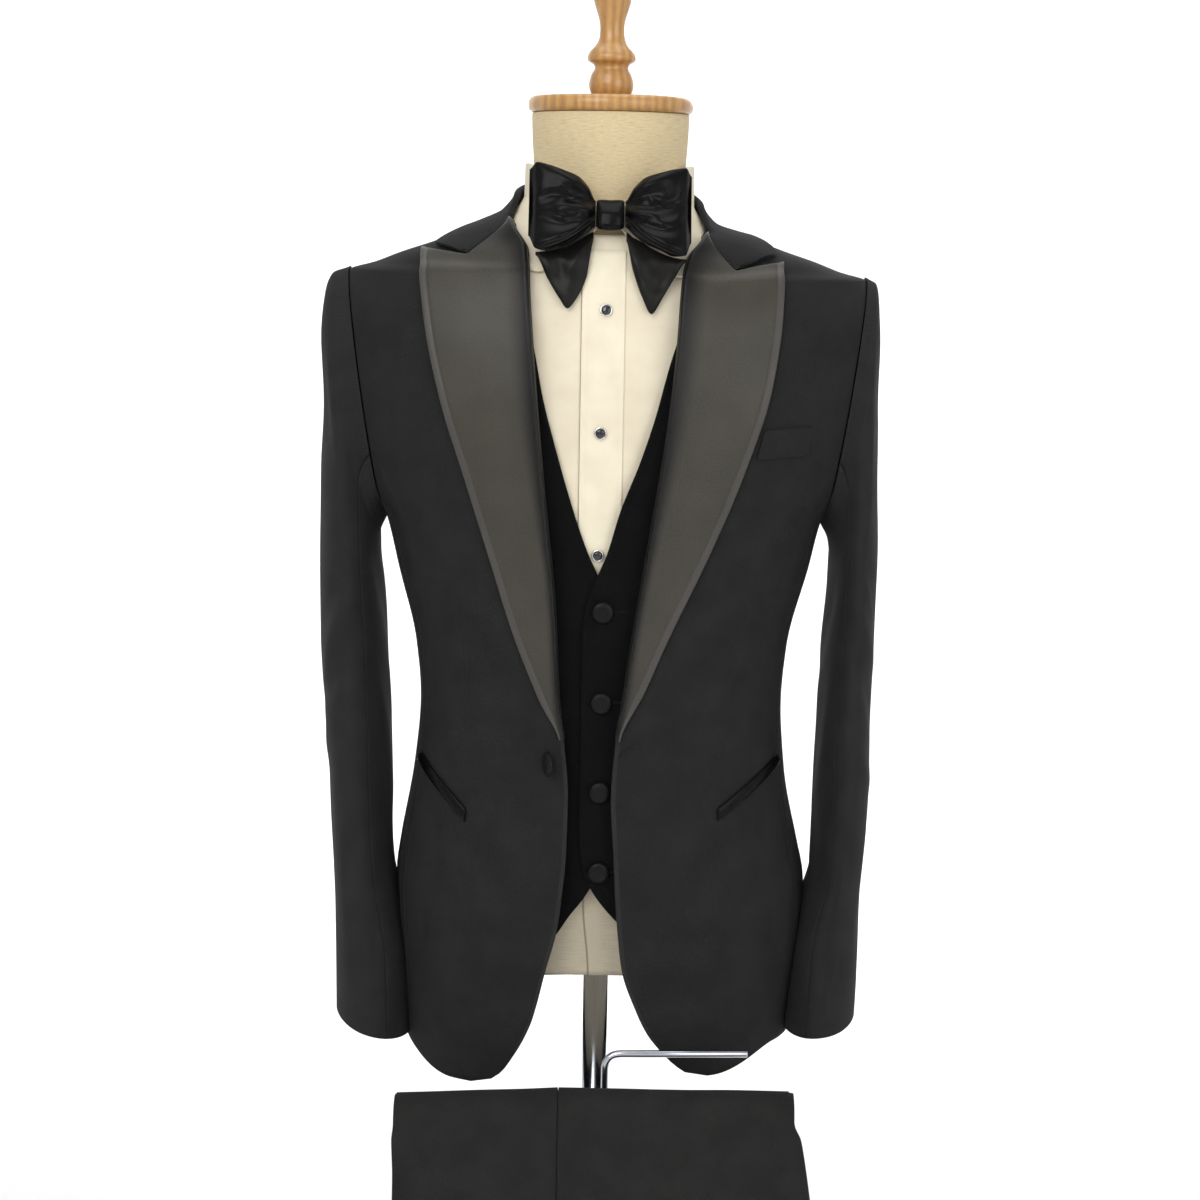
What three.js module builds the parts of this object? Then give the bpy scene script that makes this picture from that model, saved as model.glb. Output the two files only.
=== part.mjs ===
// A black tuxedo worn by a limbless dress form: jacket, waistcoat, dress shirt and bow tie on the form,
// and the trousers folded over a rail on its stand.
// Millimetres. +Z is up, the wearer faces -Y, +X is the wearer's left, and z = 0 is the floor.
import * as THREE from "three";

// Driving sizes
const GAP = 0.4;                  // between pieces that meet at a seam
const WOOL = 2.0;                 // walls
const WAISTCOAT_WALL = 1.6;
const SHIRT_WALL = 1.2;
const FORM_SLACK = 0.05;         // share by which the form is slimmer than the cloth that it fills
const SHIRT_OUT = 1.2;            // outer faces of the layers, measured from the fitting surface
const PLACKET_OUT = 2.5;
const COLLAR_OUT = 4.9;
const WAISTCOAT_OUT = 6.5;
const WAISTCOAT_LAP = 3.0;
const SATIN_WALL = 2.0;
const NECK_RADIUS = 67;
const NECK_TOP = 1564.6;
const FORM_BOTTOM = 830;
const POLE_RADIUS = 11;
const BASE_RADIUS = 200;
const JACKET_HEM = 747;
const ARMHOLE = { topX: 222, topZ: 1430, lowX: 190, lowZ: 1222 };
const SIDE_SEAM = 72;             // degrees round the body from centre front
const BACK_SEAM = 112;
const LAPEL_BREAK = { right: 1040, left: 1040 };

const DEGREE = Math.PI / 180;
const group = new THREE.Group();

const material = (color, roughness, metalness = 0) =>
  new THREE.MeshStandardMaterial({ color, roughness, metalness });
const wool = material(0x15151a, 0.85);
const satin = material(0x2a2826, 0.4);
const gloss = material(0x111013, 0.3);
const cotton = material(0xeee9dc, 0.8);
const linen = material(0xd9c9a6, 0.9);
const wood = material(0xc2925a, 0.5);
const chrome = material(0xb8bcc2, 0.15, 1);
const stone = material(0x0b0b0d, 0.2);

// Tables: each row is a level, each column a size, and a smooth curve runs between the rows
function table(columns, rows) {
  const key = rows.map((row) => row[0]);
  const slope = (k, c) => {
    if (k === 0 || k === rows.length - 1) return 0;
    const before = (rows[k][c] - rows[k - 1][c]) / (key[k] - key[k - 1]);
    const after = (rows[k + 1][c] - rows[k][c]) / (key[k + 1] - key[k]);
    return before * after <= 0 ? 0 : (2 * before * after) / (before + after);
  };
  return (value) => {
    const v = Math.min(Math.max(value, key[0]), key[key.length - 1]);
    let k = 0;
    while (k < key.length - 2 && v > key[k + 1]) k += 1;
    const span = key[k + 1] - key[k];
    const f = (v - key[k]) / span;
    const result = {};
    columns.forEach((name, c) => {
      const [a, b] = [rows[k][c], rows[k + 1][c]];
      const [ma, mb] = [slope(k, c) * span, slope(k + 1, c) * span];
      result[name] = a + f * ma + f * f * (3 * (b - a) - 2 * ma - mb) + f * f * f * (2 * (a - b) + ma + mb);
    });
    return result;
  };
}

const BODY = ["z", "half", "front", "back", "power"];
const FORM = table(BODY, [
  [830, 165, 93, 108, 2.3],
  [900, 163, 99, 110, 2.3],
  [965, 154, 103, 102, 2.3],
  [1060, 145, 102, 88, 2.3],
  [1150, 156, 104, 92, 2.3],
  [1222, 172, 109, 105, 2.3],
  [1322, 190, 111, 114, 2.3],
  [1380, 203, 106, 112, 2.2],
  [1410, 200, 101, 107, 2.1],
  [1427, 189, 97, 103, 2.0],
  [1436, 176, 94, 100, 2.0],
  [1444, 152, 91, 97, 2.0],
  [1453, 128, 87, 92, 2.0],
  [1461, 108, 83, 87, 2.0],
  [1470, 89, 78, 81, 2.0],
  [1480, 77, 73, 74, 2.0],
  [1495, 68, 68, 68, 2.0],
  [1565, NECK_RADIUS, NECK_RADIUS, NECK_RADIUS, 2.0],
]);
const JACKET = table(BODY, [
  [740, 172, 119, 128, 2.4],
  [800, 174, 120, 126, 2.4],
  [860, 177, 121, 124, 2.4],
  [900, 178, 122, 122, 2.4],
  [930, 174.5, 123, 118, 2.4],
  [1000, 163.5, 124, 108, 2.4],
  [1060, 159, 123, 101, 2.4],
  [1110, 163, 123, 101, 2.4],
  [1180, 180, 124, 110, 2.4],
  [1222, 190, 125, 118, 2.4],
  [1255, 210, 126, 123, 2.4],
  [1290, 223, 126, 126, 2.4],
  [1322, 230, 125, 127, 2.4],
  [1360, 232, 121, 126, 2.4],
  [1400, 230, 114, 121, 2.3],
  [1430, 222.4, 106, 114, 2.1],
  [1437, 200, 103, 111, 2.0],
  [1446, 177, 100, 107, 2.0],
  [1454, 153, 97, 103, 2.0],
  [1463, 129, 94, 98, 2.0],
  [1471, 107.3, 90, 94, 2.0],
  [1480, 88.5, 86, 89, 2.0],
  [1497, 76.8, 79, 82, 2.0],
  [1520, 75.5, 77, 79, 2.0],
]);

// A point on a body surface at height z and angle u degrees from centre front, moved out along its normal
function onBody(body, z, u, out = 0) {
  const size = body(z);
  const s = Math.sin(u * DEGREE);
  const c = Math.cos(u * DEGREE);
  const n = size.power;
  const depth = c > 0 ? size.front : size.back;
  const x = size.half * Math.sign(s) * Math.abs(s) ** (2 / n);
  const y = -depth * Math.sign(c) * Math.abs(c) ** (2 / n);
  const [low, high] = [body(z - 1), body(z + 1)];
  const halfSlope = (high.half - low.half) / 2;
  const depthSlope = c > 0 ? (high.front - low.front) / 2 : (high.back - low.back) / 2;
  const xShare = Math.abs(x / size.half);
  const yShare = Math.abs(y / depth);
  const normal = new THREE.Vector3(
    (Math.sign(x) * xShare ** (n - 1)) / size.half,
    (Math.sign(y) * yShare ** (n - 1)) / depth,
    -(xShare ** n * halfSlope) / size.half - (yShare ** n * depthSlope) / depth,
  ).normalize();
  const point = new THREE.Vector3(x, y, z).addScaledVector(normal, out);
  return { point, normal };
}

// The angle at which a body surface has a given x
function angleAt(body, z, x) {
  const size = body(z);
  const share = Math.min(Math.abs(x) / size.half, 1);
  return (Math.sign(x) * Math.asin(share ** (size.power / 2))) / DEGREE;
}

// Closed meshes
function addMesh(name, positions, triangles, look) {
  let volume = 0;
  const at = (k) => new THREE.Vector3(...positions[k]);
  triangles.forEach(([a, b, c]) => { volume += at(a).dot(at(b).cross(at(c))); });
  const facing = volume > 0 ? triangles : triangles.map(([a, b, c]) => [a, c, b]);
  const geometry = new THREE.BufferGeometry();
  geometry.setAttribute("position", new THREE.Float32BufferAttribute(positions.flat(), 3));
  geometry.setIndex(facing.flat());
  geometry.computeVertexNormals();
  const mesh = new THREE.Mesh(geometry, look);
  mesh.name = name;
  group.add(mesh);
}

// A wall: rows x columns of points with normals, with a second face moved in by its thickness
function addWall(name, columns, rows, thickness, look, at) {
  const positions = [];
  const triangles = [];
  for (const inward of [0, thickness]) {
    for (const t of rows) {
      for (const s of columns) {
        const { point, normal } = at(s, t);
        positions.push(point.clone().addScaledVector(normal, -inward).toArray());
      }
    }
  }
  const [nc, nr] = [columns.length, rows.length];
  const outer = (i, j) => j * nc + i;
  const inner = (i, j) => nc * nr + outer(i, j);
  const quad = (a, b, c, d) => triangles.push([a, b, c], [a, c, d]);
  for (let j = 0; j < nr - 1; j += 1) {
    for (let i = 0; i < nc - 1; i += 1) {
      quad(outer(i, j), outer(i + 1, j), outer(i + 1, j + 1), outer(i, j + 1));
      quad(inner(i, j), inner(i, j + 1), inner(i + 1, j + 1), inner(i + 1, j));
    }
  }
  for (let i = 0; i < nc - 1; i += 1) {
    quad(outer(i, 0), inner(i, 0), inner(i + 1, 0), outer(i + 1, 0));
    quad(outer(i, nr - 1), outer(i + 1, nr - 1), inner(i + 1, nr - 1), inner(i, nr - 1));
  }
  for (let j = 0; j < nr - 1; j += 1) {
    quad(outer(0, j), outer(0, j + 1), inner(0, j + 1), inner(0, j));
    quad(outer(nc - 1, j), inner(nc - 1, j), inner(nc - 1, j + 1), outer(nc - 1, j + 1));
  }
  addMesh(name, positions, triangles, look);
}

// A solid of rings closed by a point at each end
function addLoft(name, rings, look) {
  const size = rings[0].length;
  const middle = (ring) => [0, 1, 2].map((k) => ring.reduce((sum, p) => sum + p[k], 0) / size);
  const positions = [...rings.flat(), middle(rings[0]), middle(rings[rings.length - 1])];
  const [first, last] = [positions.length - 2, positions.length - 1];
  const triangles = [];
  for (let j = 0; j < rings.length - 1; j += 1) {
    for (let i = 0; i < size; i += 1) {
      const [a, b] = [j * size + i, j * size + ((i + 1) % size)];
      triangles.push([a, b, b + size], [a, b + size, a + size]);
    }
  }
  for (let i = 0; i < size; i += 1) {
    triangles.push([first, (i + 1) % size, i]);
    const top = (rings.length - 1) * size;
    triangles.push([last, top + i, top + ((i + 1) % size)]);
  }
  addMesh(name, positions, triangles, look);
}

const spaced = (from, to, count) =>
  Array.from({ length: count }, (_, k) => from + ((to - from) * k) / (count - 1));
const smooth = (from, to, value) => {
  const f = Math.min(Math.max((value - from) / (to - from), 0), 1);
  return f * f * (3 - 2 * f);
};
const mix = (a, b, f) => a + (b - a) * f;

// Armholes: a body surface is cut by a plane that leans in towards the underarm
const armholeX = (z) => mix(ARMHOLE.lowX, ARMHOLE.topX, (z - ARMHOLE.lowZ) / (ARMHOLE.topZ - ARMHOLE.lowZ));
function armholeAngle(body, z, x) {
  if (z > ARMHOLE.topZ || z < ARMHOLE.lowZ) return 90;
  return angleAt(body, z, x);
}
// The lowest height at which the armhole of the jacket reaches angle u
function armholeHeight(u) {
  const reach = u > 90 ? 180 - u : u;
  let [low, high] = [ARMHOLE.lowZ, 1300];
  for (let step = 0; step < 30; step += 1) {
    const z = (low + high) / 2;
    if (armholeAngle(JACKET, z, armholeX(z) - GAP / 2) > reach) low = z;
    else high = z;
  }
  return low;
}

// The dress form, its neck cap and its stand
function addForm() {
  const heights = [
    ...spaced(FORM_BOTTOM, 1380, 10), 1410, 1430, 1441, 1453, 1463, 1473, 1483, 1497, NECK_TOP,
  ];
  const around = spaced(0, 345, 24);
  addLoft("form_torso", heights.map((z) => around.map((u) => {
    const slim = 1 - FORM_SLACK * (1 - smooth(1500, 1560, z));
    return onBody(FORM, z, u).point.multiply(new THREE.Vector3(slim, slim, 1)).toArray();
  })), linen);
}

function addLathe(name, profile, look, sides = 24) {
  const points = profile.map(([radius, z]) => new THREE.Vector2(radius, z));
  const turned = new THREE.LatheGeometry(points, sides);
  turned.rotateX(Math.PI / 2);
  const mesh = new THREE.Mesh(turned, look);
  mesh.name = name;
  group.add(mesh);
  return mesh;
}

function addStand() {
  addLathe("neck_cap", [
    [0, 1565], [66, 1565], [69.5, 1567.5], [70.5, 1572], [69.5, 1576.5], [66, 1579], [0, 1579],
  ], wood, 32);
  addLathe("finial", [
    [0, 1579.4], [16, 1579.4], [18.5, 1585], [19, 1591], [17, 1598], [14.5, 1602.5], [15.5, 1606],
    [20, 1609], [20.5, 1613], [18.5, 1617], [12.5, 1624], [10.5, 1632], [11, 1642], [14, 1652],
    [16, 1660], [15, 1669], [10, 1676], [0, 1679],
  ], wood, 20);
  addLathe("pole", [[0, 12.4], [POLE_RADIUS, 12.4], [POLE_RADIUS, 829.6], [0, 829.6]], chrome, 16);
  addLathe("stand_base", [
    [0, 0], [BASE_RADIUS, 0], [BASE_RADIUS, 6], [BASE_RADIUS - 4, 9], [60, 12], [0, 12],
  ], chrome, 40);
  addLathe("pole_foot", [
    [POLE_RADIUS + GAP, 12.6], [34, 12.6], [32, 20], [20, 30], [16, 52], [POLE_RADIUS + GAP, 52],
    [POLE_RADIUS + GAP, 12.6],
  ], chrome, 20);
}

// Jacket
const jacketRise = {
  right: (u) => -10 + 24 * smooth(42, 80, u),
  left: (u) => 18 * smooth(32, 62, u) - 4 * smooth(95, 140, u),
};
const hemShare = (z) => 1 - smooth(JACKET_HEM, JACKET_HEM + 110, z);
const JACKET_ROWS = [
  JACKET_HEM, 752, 764, 785, 820, 870, 930, 1000, 1075, 1150, 1222, 1250, 1290, 1335, 1380, 1410,
  1430, 1446, 1462, 1472,
];
// Where each front ends towards the centre: the cut-away hem, the button, and the roll of the lapel
const FRONT_EDGE = {
  right: table(["z", "x"], [
    [747, 107], [749, 95], [758, 81], [770, 72], [786, 62], [803, 54], [843, 43], [878, 34],
    [909, 30], [944, 27], [996, 26], [1043, 30], [1080, 34], [1164, 39], [1247, 48], [1329, 56],
    [1410, 63], [1451, 66], [1472, 78],
  ]),
  left: table(["z", "x"], [
    [747, 98], [750, 82], [758, 70], [768, 60], [787, 45], [805, 36], [844, 22], [875, 18],
    [910, 15], [945, 13], [996, 10], [1044, 13], [1081, 18], [1120, 23], [1174, 31], [1240, 41],
    [1311, 51], [1372, 57], [1433, 61], [1451, 65], [1472, 78],
  ]),
};
// The outer edge of each lapel up to its peak
const LAPEL_EDGE = {
  right: table(["z", "x"], [
    [1040, 33.5], [1078, 51], [1129, 72], [1196, 94], [1262, 115], [1328, 136], [1393, 150], [1447, 156],
  ]),
  left: table(["z", "x"], [
    [1040, 16.5], [1088, 37], [1131, 55], [1208, 90], [1274, 116], [1341, 136], [1400, 143.5], [1443, 145],
  ]),
};
// Gorge, notch and peak, from the front
const PEAK = {
  right: { roll: [78, 1471], notch: [116, 1443], tip: [156, 1447], corner: [141, 1449] },
  left: { roll: [77.4, 1469], notch: [104, 1439], tip: [145, 1443], corner: [131, 1447] },
};
const sign = { right: -1, left: 1 };

function bodyPanel(name, body, look, thickness, rows, columns, limits, options = {}) {
  const { side = 1, out = () => 0, rise = () => 0, share = () => 0 } = options;
  addWall(name, spaced(0, 1, columns), rows, thickness, look, (s, z) => {
    const [from, to] = limits(z);
    const u = mix(from, to, s);
    const height = z + rise(u) * share(z);
    return onBody(body, height, side * u, out(z, u));
  });
}

const seamShift = 0.18;           // degrees that a panel stops short of a seam
function addJacketBody() {
  for (const name of ["right", "left"]) {
    const side = sign[name];
    const armhole = (z) => armholeAngle(JACKET, z, armholeX(z) - GAP / 2);
    const outerFront = (z) => (z < 1322 ? Math.min(SIDE_SEAM, armhole(z)) : armhole(z)) - seamShift;
    bodyPanel(`jacket_front_${name}`, JACKET, wool, WOOL, JACKET_ROWS, 8,
      (z) => [angleAt(JACKET, z, FRONT_EDGE[name](z).x), outerFront(z)],
      { side, rise: jacketRise[name], share: hemShare });
    const backReach = 180 - BACK_SEAM;
    const outerBack = (z) => 180 - (z < 1322 ? Math.min(backReach, armhole(z)) : armhole(z)) + seamShift;
    const backRows = [...JACKET_ROWS.filter((z) => z === JACKET_HEM || z > 780), 1482, 1493];
    bodyPanel(`jacket_back_${name}`, JACKET, wool, WOOL, backRows, 7,
      (z) => [outerBack(z), 180 - seamShift], { side, rise: jacketRise[name], share: hemShare });
    const sideRows = spaced(0, 1, 10);
    addWall(`jacket_side_${name}`, spaced(SIDE_SEAM + seamShift, BACK_SEAM - seamShift, 6), sideRows, WOOL,
      wool, (u, t) => {
        const low = JACKET_HEM + jacketRise[name](u);
        return onBody(JACKET, mix(low, armholeHeight(u) - GAP, t), side * u);
      });
  }
}

// A lapel lies on its front, from the roll line to its edge, and stands off a little at the roll
function lapelPlace(name, s, t) {
  const { roll, notch, tip } = PEAK[name];
  const rollZ = mix(LAPEL_BREAK[name], roll[1], t);
  const edgeZ = mix(LAPEL_BREAK[name], tip[1], t);
  const straight = mix(roll[0], tip[0], notchShare(name));
  const dip = notch[1] - mix(roll[1], tip[1], (notch[0] - roll[0]) / (tip[0] - roll[0]));
  const at = notchShare(name);
  const tent = s < at ? s / at : (1 - s) / (1 - at);
  const top = t ** 8;
  const x = mix(FRONT_EDGE[name](rollZ).x + 0.2, LAPEL_EDGE[name](edgeZ).x, s) + (notch[0] - straight) * tent * top;
  return [x, mix(rollZ, edgeZ, s) + dip * tent * top];
}
const notchShare = (name) => {
  const { roll, notch, tip } = PEAK[name];
  return (notch[0] - roll[0]) / (tip[0] - roll[0]);
};
function addLapels() {
  for (const name of ["right", "left"]) {
    const notch = notchShare(name);
    const columns = [0, 0.07, ...spaced(0.2, notch, 3), ...spaced(mix(notch, 1, 0.5), 1, 2)];
    const rows = [...spaced(0.012, 0.82, 10), 0.9, 0.96, 1];
    addWall(`lapel_${name}`, columns, rows, SATIN_WALL, satin, (s, t) => {
      const [x, z] = lapelPlace(name, s, t);
      const roll = 3.2 * Math.exp(-s / 0.1) * smooth(0, 0.5, t);
      const clear = GAP + SATIN_WALL + 0.5 + 2.1 * smooth(0.5, 0.9, t);
      return onBody(JACKET, z, sign[name] * angleAt(JACKET, z, x), clear + roll);
    });
  }
}

// The collar runs from notch to notch round the back of the neck, between its fall edge and its roll
function addJacketCollar() {
  const half = (name) => {
    const { roll, notch, corner } = PEAK[name];
    const shift = 1.3;
    const rollU = angleAt(JACKET, roll[1] + shift, roll[0]);
    const cornerU = angleAt(JACKET, corner[1], corner[0]);
    const rollLine = table(["u", "z"], [
      [rollU, roll[1] + shift], [90, 1499], [130, 1508], [180, 1513],
    ]);
    const fallLine = table(["u", "z"], [
      [cornerU, corner[1]], [90, 1466], [130, 1459], [180, 1457],
    ]);
    const along = (notch[0] - roll[0]) / (corner[0] - roll[0]);
    return { rollU, cornerU, rollLine, fallLine, notch, corner, roll, along, shift };
  };
  const halves = { right: half("right"), left: half("left") };
  // the front end follows the gorge to the notch and then the collar's own end to its corner
  const frontEnd = ({ notch, corner, roll, along, shift }, t) => {
    const [from, to] = t < along ? [roll, notch] : [notch, corner];
    const f = t < along ? t / along : (t - along) / (1 - along);
    const z = mix(from[1], to[1], f) + shift;
    return [angleAt(JACKET, z, mix(from[0], to[0], f)), z];
  };
  const place = (name, s, t) => {
    const half = halves[name];
    const between = (share) => {
      const ru = mix(half.rollU, 180, share);
      const fu = mix(half.cornerU, 180, share);
      return [mix(ru, fu, t), mix(half.rollLine(ru).z, half.fallLine(fu).z, t)];
    };
    const end = frontEnd(half, t);
    const start = between(0);
    const weight = Math.max(1 - s * 4, 0);
    return between(s).map((value, k) => value + (end[k] - start[k]) * weight);
  };
  const ahead = [0, 0.08, 0.16, 0.26, 0.38, 0.52, 0.68, 0.84, 1];
  const columns = [...ahead, ...ahead.slice(0, -1).reverse().map((s) => 2 - s)];
  addWall("jacket_collar", columns, [0, 0.3, halves.left.along, 0.8, 1], WOOL, wool, (s, t) => {
    const name = s <= 1 ? "right" : "left";
    const share = s <= 1 ? s : 2 - s;
    const [u, z] = place(name, share, t);
    return onBody(JACKET, z, sign[name] * u, GAP + WOOL + 1.6 + 0.6 * (1 - t));
  });
}

// Patches that lie on a front: x and z of the four corners, in order round the patch
function addPatch(name, corners, side, out, thickness, look, columns = 5, rows = 2) {
  addWall(name, spaced(0, 1, columns), spaced(0, 1, rows), thickness, look, (s, t) => {
    const x = mix(mix(corners[0][0], corners[1][0], s), mix(corners[3][0], corners[2][0], s), t);
    const z = mix(mix(corners[0][1], corners[1][1], s), mix(corners[3][1], corners[2][1], s), t);
    return onBody(JACKET, z, side * angleAt(JACKET, z, x), out + thickness);
  });
}
function addPockets() {
  const clear = 1.6;
  addPatch("breast_welt", [[131, 1306], [172, 1309], [169, 1285], [125, 1282]], 1, 1, 1.4, wool);
  addPatch("hip_welt_right", [[112, 979], [153, 1017], [157, 1009], [113, 968]], -1, clear, 1.8, satin, 6);
  addPatch("hip_welt_left", [[100, 985], [151, 1021], [155, 1013], [100, 974]], 1, clear, 1.8, satin, 6);
}

// Round buttons: a domed disc whose back rests on a surface point
function addButton(name, radius, height, place, look, sides = 16, lean = null) {
  const profile = [
    [0, 0], [radius * 0.75, 0], [radius, height * 0.4], [radius * 0.85, height * 0.85],
    [0, height],
  ];
  const turned = new THREE.LatheGeometry(profile.map(([r, h]) => new THREE.Vector2(r, h)), sides);
  const mesh = new THREE.Mesh(turned, look);
  const facing = lean ?? place.normal;
  mesh.quaternion.setFromUnitVectors(new THREE.Vector3(0, 1, 0), facing.clone().normalize());
  mesh.position.copy(place.point);
  mesh.name = name;
  group.add(mesh);
}

// Sleeves: each ring has an outer and an inner end, seen from the front, and a depth from front to back
const RING = ["step", "outerX", "outerZ", "innerX", "innerZ", "depth", "middle", "bodyShare"];
const SLEEVE = {
  right: table(RING, [
    [0, 222.3, 1431, 190.3, 1221, 70, 0, 1],
    [1, 234, 1427, 192.5, 1215, 73, 0, 0.7],
    [2, 241, 1412, 195.5, 1209, 75, 1, 0.35],
    [3, 243, 1385, 198, 1200, 77, 3, 0],
    [4, 241, 1330, 198, 1180, 79, 5, 0],
    [5, 245, 1262, 195.5, 1155, 80, 7, 0],
    [6, 246.5, 1190, 192.5, 1120, 78, 9, 0],
    [7, 246, 1120, 190, 1080, 74, 9, 0],
    [8, 242, 1050, 188, 1030, 70, 6, 0],
    [9, 237.5, 975, 187, 968, 67, 0, 0],
    [10, 234.5, 905, 186, 900, 64, -8, 0],
    [11, 232, 840, 184, 836, 62, -17, 0],
    [12, 228.5, 782, 181, 761, 60, -28, 0],
  ]),
  left: table(RING, [
    [0, 222.3, 1431, 190.3, 1221, 70, 0, 1],
    [1, 229, 1427, 192.5, 1215, 73, 0, 0.7],
    [2, 231.5, 1412, 196, 1209, 75, 1, 0.35],
    [3, 232.5, 1385, 199.5, 1200, 77, 3, 0],
    [4, 232, 1330, 202, 1180, 79, 5, 0],
    [5, 235, 1262, 201.5, 1155, 80, 7, 0],
    [6, 238.5, 1190, 198.5, 1120, 78, 9, 0],
    [7, 238.5, 1120, 196, 1080, 74, 9, 0],
    [8, 237, 1050, 194.5, 1030, 70, 6, 0],
    [9, 237.5, 975, 194, 968, 67, 0, 0],
    [10, 234.5, 905, 192.5, 900, 64, -8, 0],
    [11, 232.5, 840, 190, 836, 62, -17, 0],
    [12, 229, 784, 187, 770, 60, -28, 0],
  ]),
};
function sleevePoint(name, step, phi) {
  const ring = SLEEVE[name](step);
  const c = Math.cos(phi * DEGREE);
  const s = Math.sin(phi * DEGREE);
  const along = (1 - c) / 2;
  const x = mix(ring.outerX, ring.innerX, along);
  const z = mix(ring.outerZ, ring.innerZ, along);
  const oval = -ring.depth * s + ring.middle;
  const size = JACKET(mix(ARMHOLE.topZ, ARMHOLE.lowZ, along));
  const cut = Math.max(1 - (armholeX(mix(ARMHOLE.topZ, ARMHOLE.lowZ, along)) / size.half) ** size.power, 0);
  const seam = -Math.sign(s) * (s > 0 ? size.front : size.back) * cut ** (1 / size.power);
  return new THREE.Vector3(x, mix(oval, seam, ring.bodyShare), z);
}
function sleevePlace(name, step, phi) {
  const at = (s, p) => sleevePoint(name, s, p);
  const point = at(step, phi);
  const round = at(step, phi + 2).sub(at(step, phi - 2));
  const down = at(Math.min(step + 0.1, 12), phi).sub(at(Math.max(step - 0.1, 0), phi));
  const side = sign[name];
  const normal = new THREE.Vector3().crossVectors(down, round).normalize();
  if (step < 0.05) {
    const axis = new THREE.Vector3(ARMHOLE.topX - ARMHOLE.lowX, 0, ARMHOLE.topZ - ARMHOLE.lowZ).normalize();
    const across = new THREE.Vector3(axis.z, 0, -axis.x);
    normal.addScaledVector(across, -normal.dot(across)).normalize();
  }
  return {
    point: new THREE.Vector3(side * point.x, point.y, point.z),
    normal: new THREE.Vector3(side * normal.x, normal.y, normal.z),
  };
}
const UNDER_FROM = 118;           // the under sleeve runs between these angles round the sleeve
const UNDER_TO = 238;
function addSleeves() {
  const steps = [0, 0.6, 1.2, 1.8, 2.4, 3.2, 4.4, 5.8, 7.2, 8.8, 10.4, 12];
  const shift = 0.15;
  for (const name of ["right", "left"]) {
    const at = (phi, step) => sleevePlace(name, step, phi);
    addWall(`sleeve_top_${name}`, spaced(UNDER_TO - 360 + shift, UNDER_FROM - shift, 13), steps, 1.8, wool, at);
    addWall(`sleeve_under_${name}`, spaced(UNDER_FROM + shift, UNDER_TO - shift, 7), steps, 1.8, wool, at);
  }
}
const JACKET_BUTTON = { x: 41, z: 1026, radius: 10.5, height: 4.5, lean: 62, stand: 8.4 };
const SLEEVE_BUTTONS = { first: 10.53, pitch: 0.223, phi: -27, radius: 7, height: 4.4 };
function addJacketButtons() {
  for (const name of ["right", "left"]) {
    for (let k = 0; k < 4; k += 1) {
      const { first, pitch, phi, radius, height } = SLEEVE_BUTTONS;
      const place = sleevePlace(name, first + pitch * k, phi);
      place.point.addScaledVector(place.normal, 1.5);
      addButton(`sleeve_button_${name}_${k + 1}`, radius, height, place, satin, 10);
    }
  }
  // the unfastened button hangs edge-on by its shank
  const { x, z, radius, height, lean, stand } = JACKET_BUTTON;
  const place = onBody(JACKET, z, -angleAt(JACKET, z, x), stand);
  const across = new THREE.Vector3(-1, 0, 0).addScaledVector(place.normal, place.normal.x).normalize();
  const facing = place.normal.clone().multiplyScalar(Math.cos(lean * DEGREE))
    .addScaledVector(across, Math.sin(lean * DEGREE));
  addButton("jacket_button", radius, height, place, satin, 16, facing);
}

// Waistcoat: the left front laps over the right one
const WAISTCOAT_ROWS = [
  852, 868, 886, 902, 918, 944, 1000, 1070, 1135, 1160, 1184, 1212, 1240, 1277, 1335, 1390, 1427, 1442, 1460,
];
const WAISTCOAT_EDGE = {
  left: table(["z", "x"], [
    [852, 50], [868, 34], [887, 14], [904, 0], [914, -6], [928, -12], [944, -14.5], [960, -16],
    [1130, -16], [1154, -14], [1180, -6], [1202, 3], [1240, 14], [1277, 28], [1315, 40], [1364, 53],
    [1427, 76], [1460, 97],
  ]),
  right: table(["z", "x"], [
    [852, 50], [869, 35], [888, 23], [903, 12], [915, 5], [930, -3], [955, -9], [985, -12],
    [1120, -12], [1150, -8], [1181, 3], [1206, 14], [1247, 28], [1288, 40], [1329, 51], [1378, 61],
    [1427, 78], [1460, 97],
  ]),
};
const waistcoatArmhole = (z) => mix(161, 146, smooth(1200, 1440, z));
function waistcoatOuter(z) {
  const cut = angleAt(FORM, z, waistcoatArmhole(z));
  return mix(90, cut, smooth(1190, 1260, z));
}
function waistcoatLift(name) {
  if (name === "right") return () => WAISTCOAT_OUT;
  return (z, u) => WAISTCOAT_OUT + WAISTCOAT_LAP * (1 - smooth(10, 24, u));
}
const waistcoatRise = (u) => 46 * smooth(26, 80, Math.abs(u));
const waistcoatShare = (z) => 1 - smooth(852, 1000, z);
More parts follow.
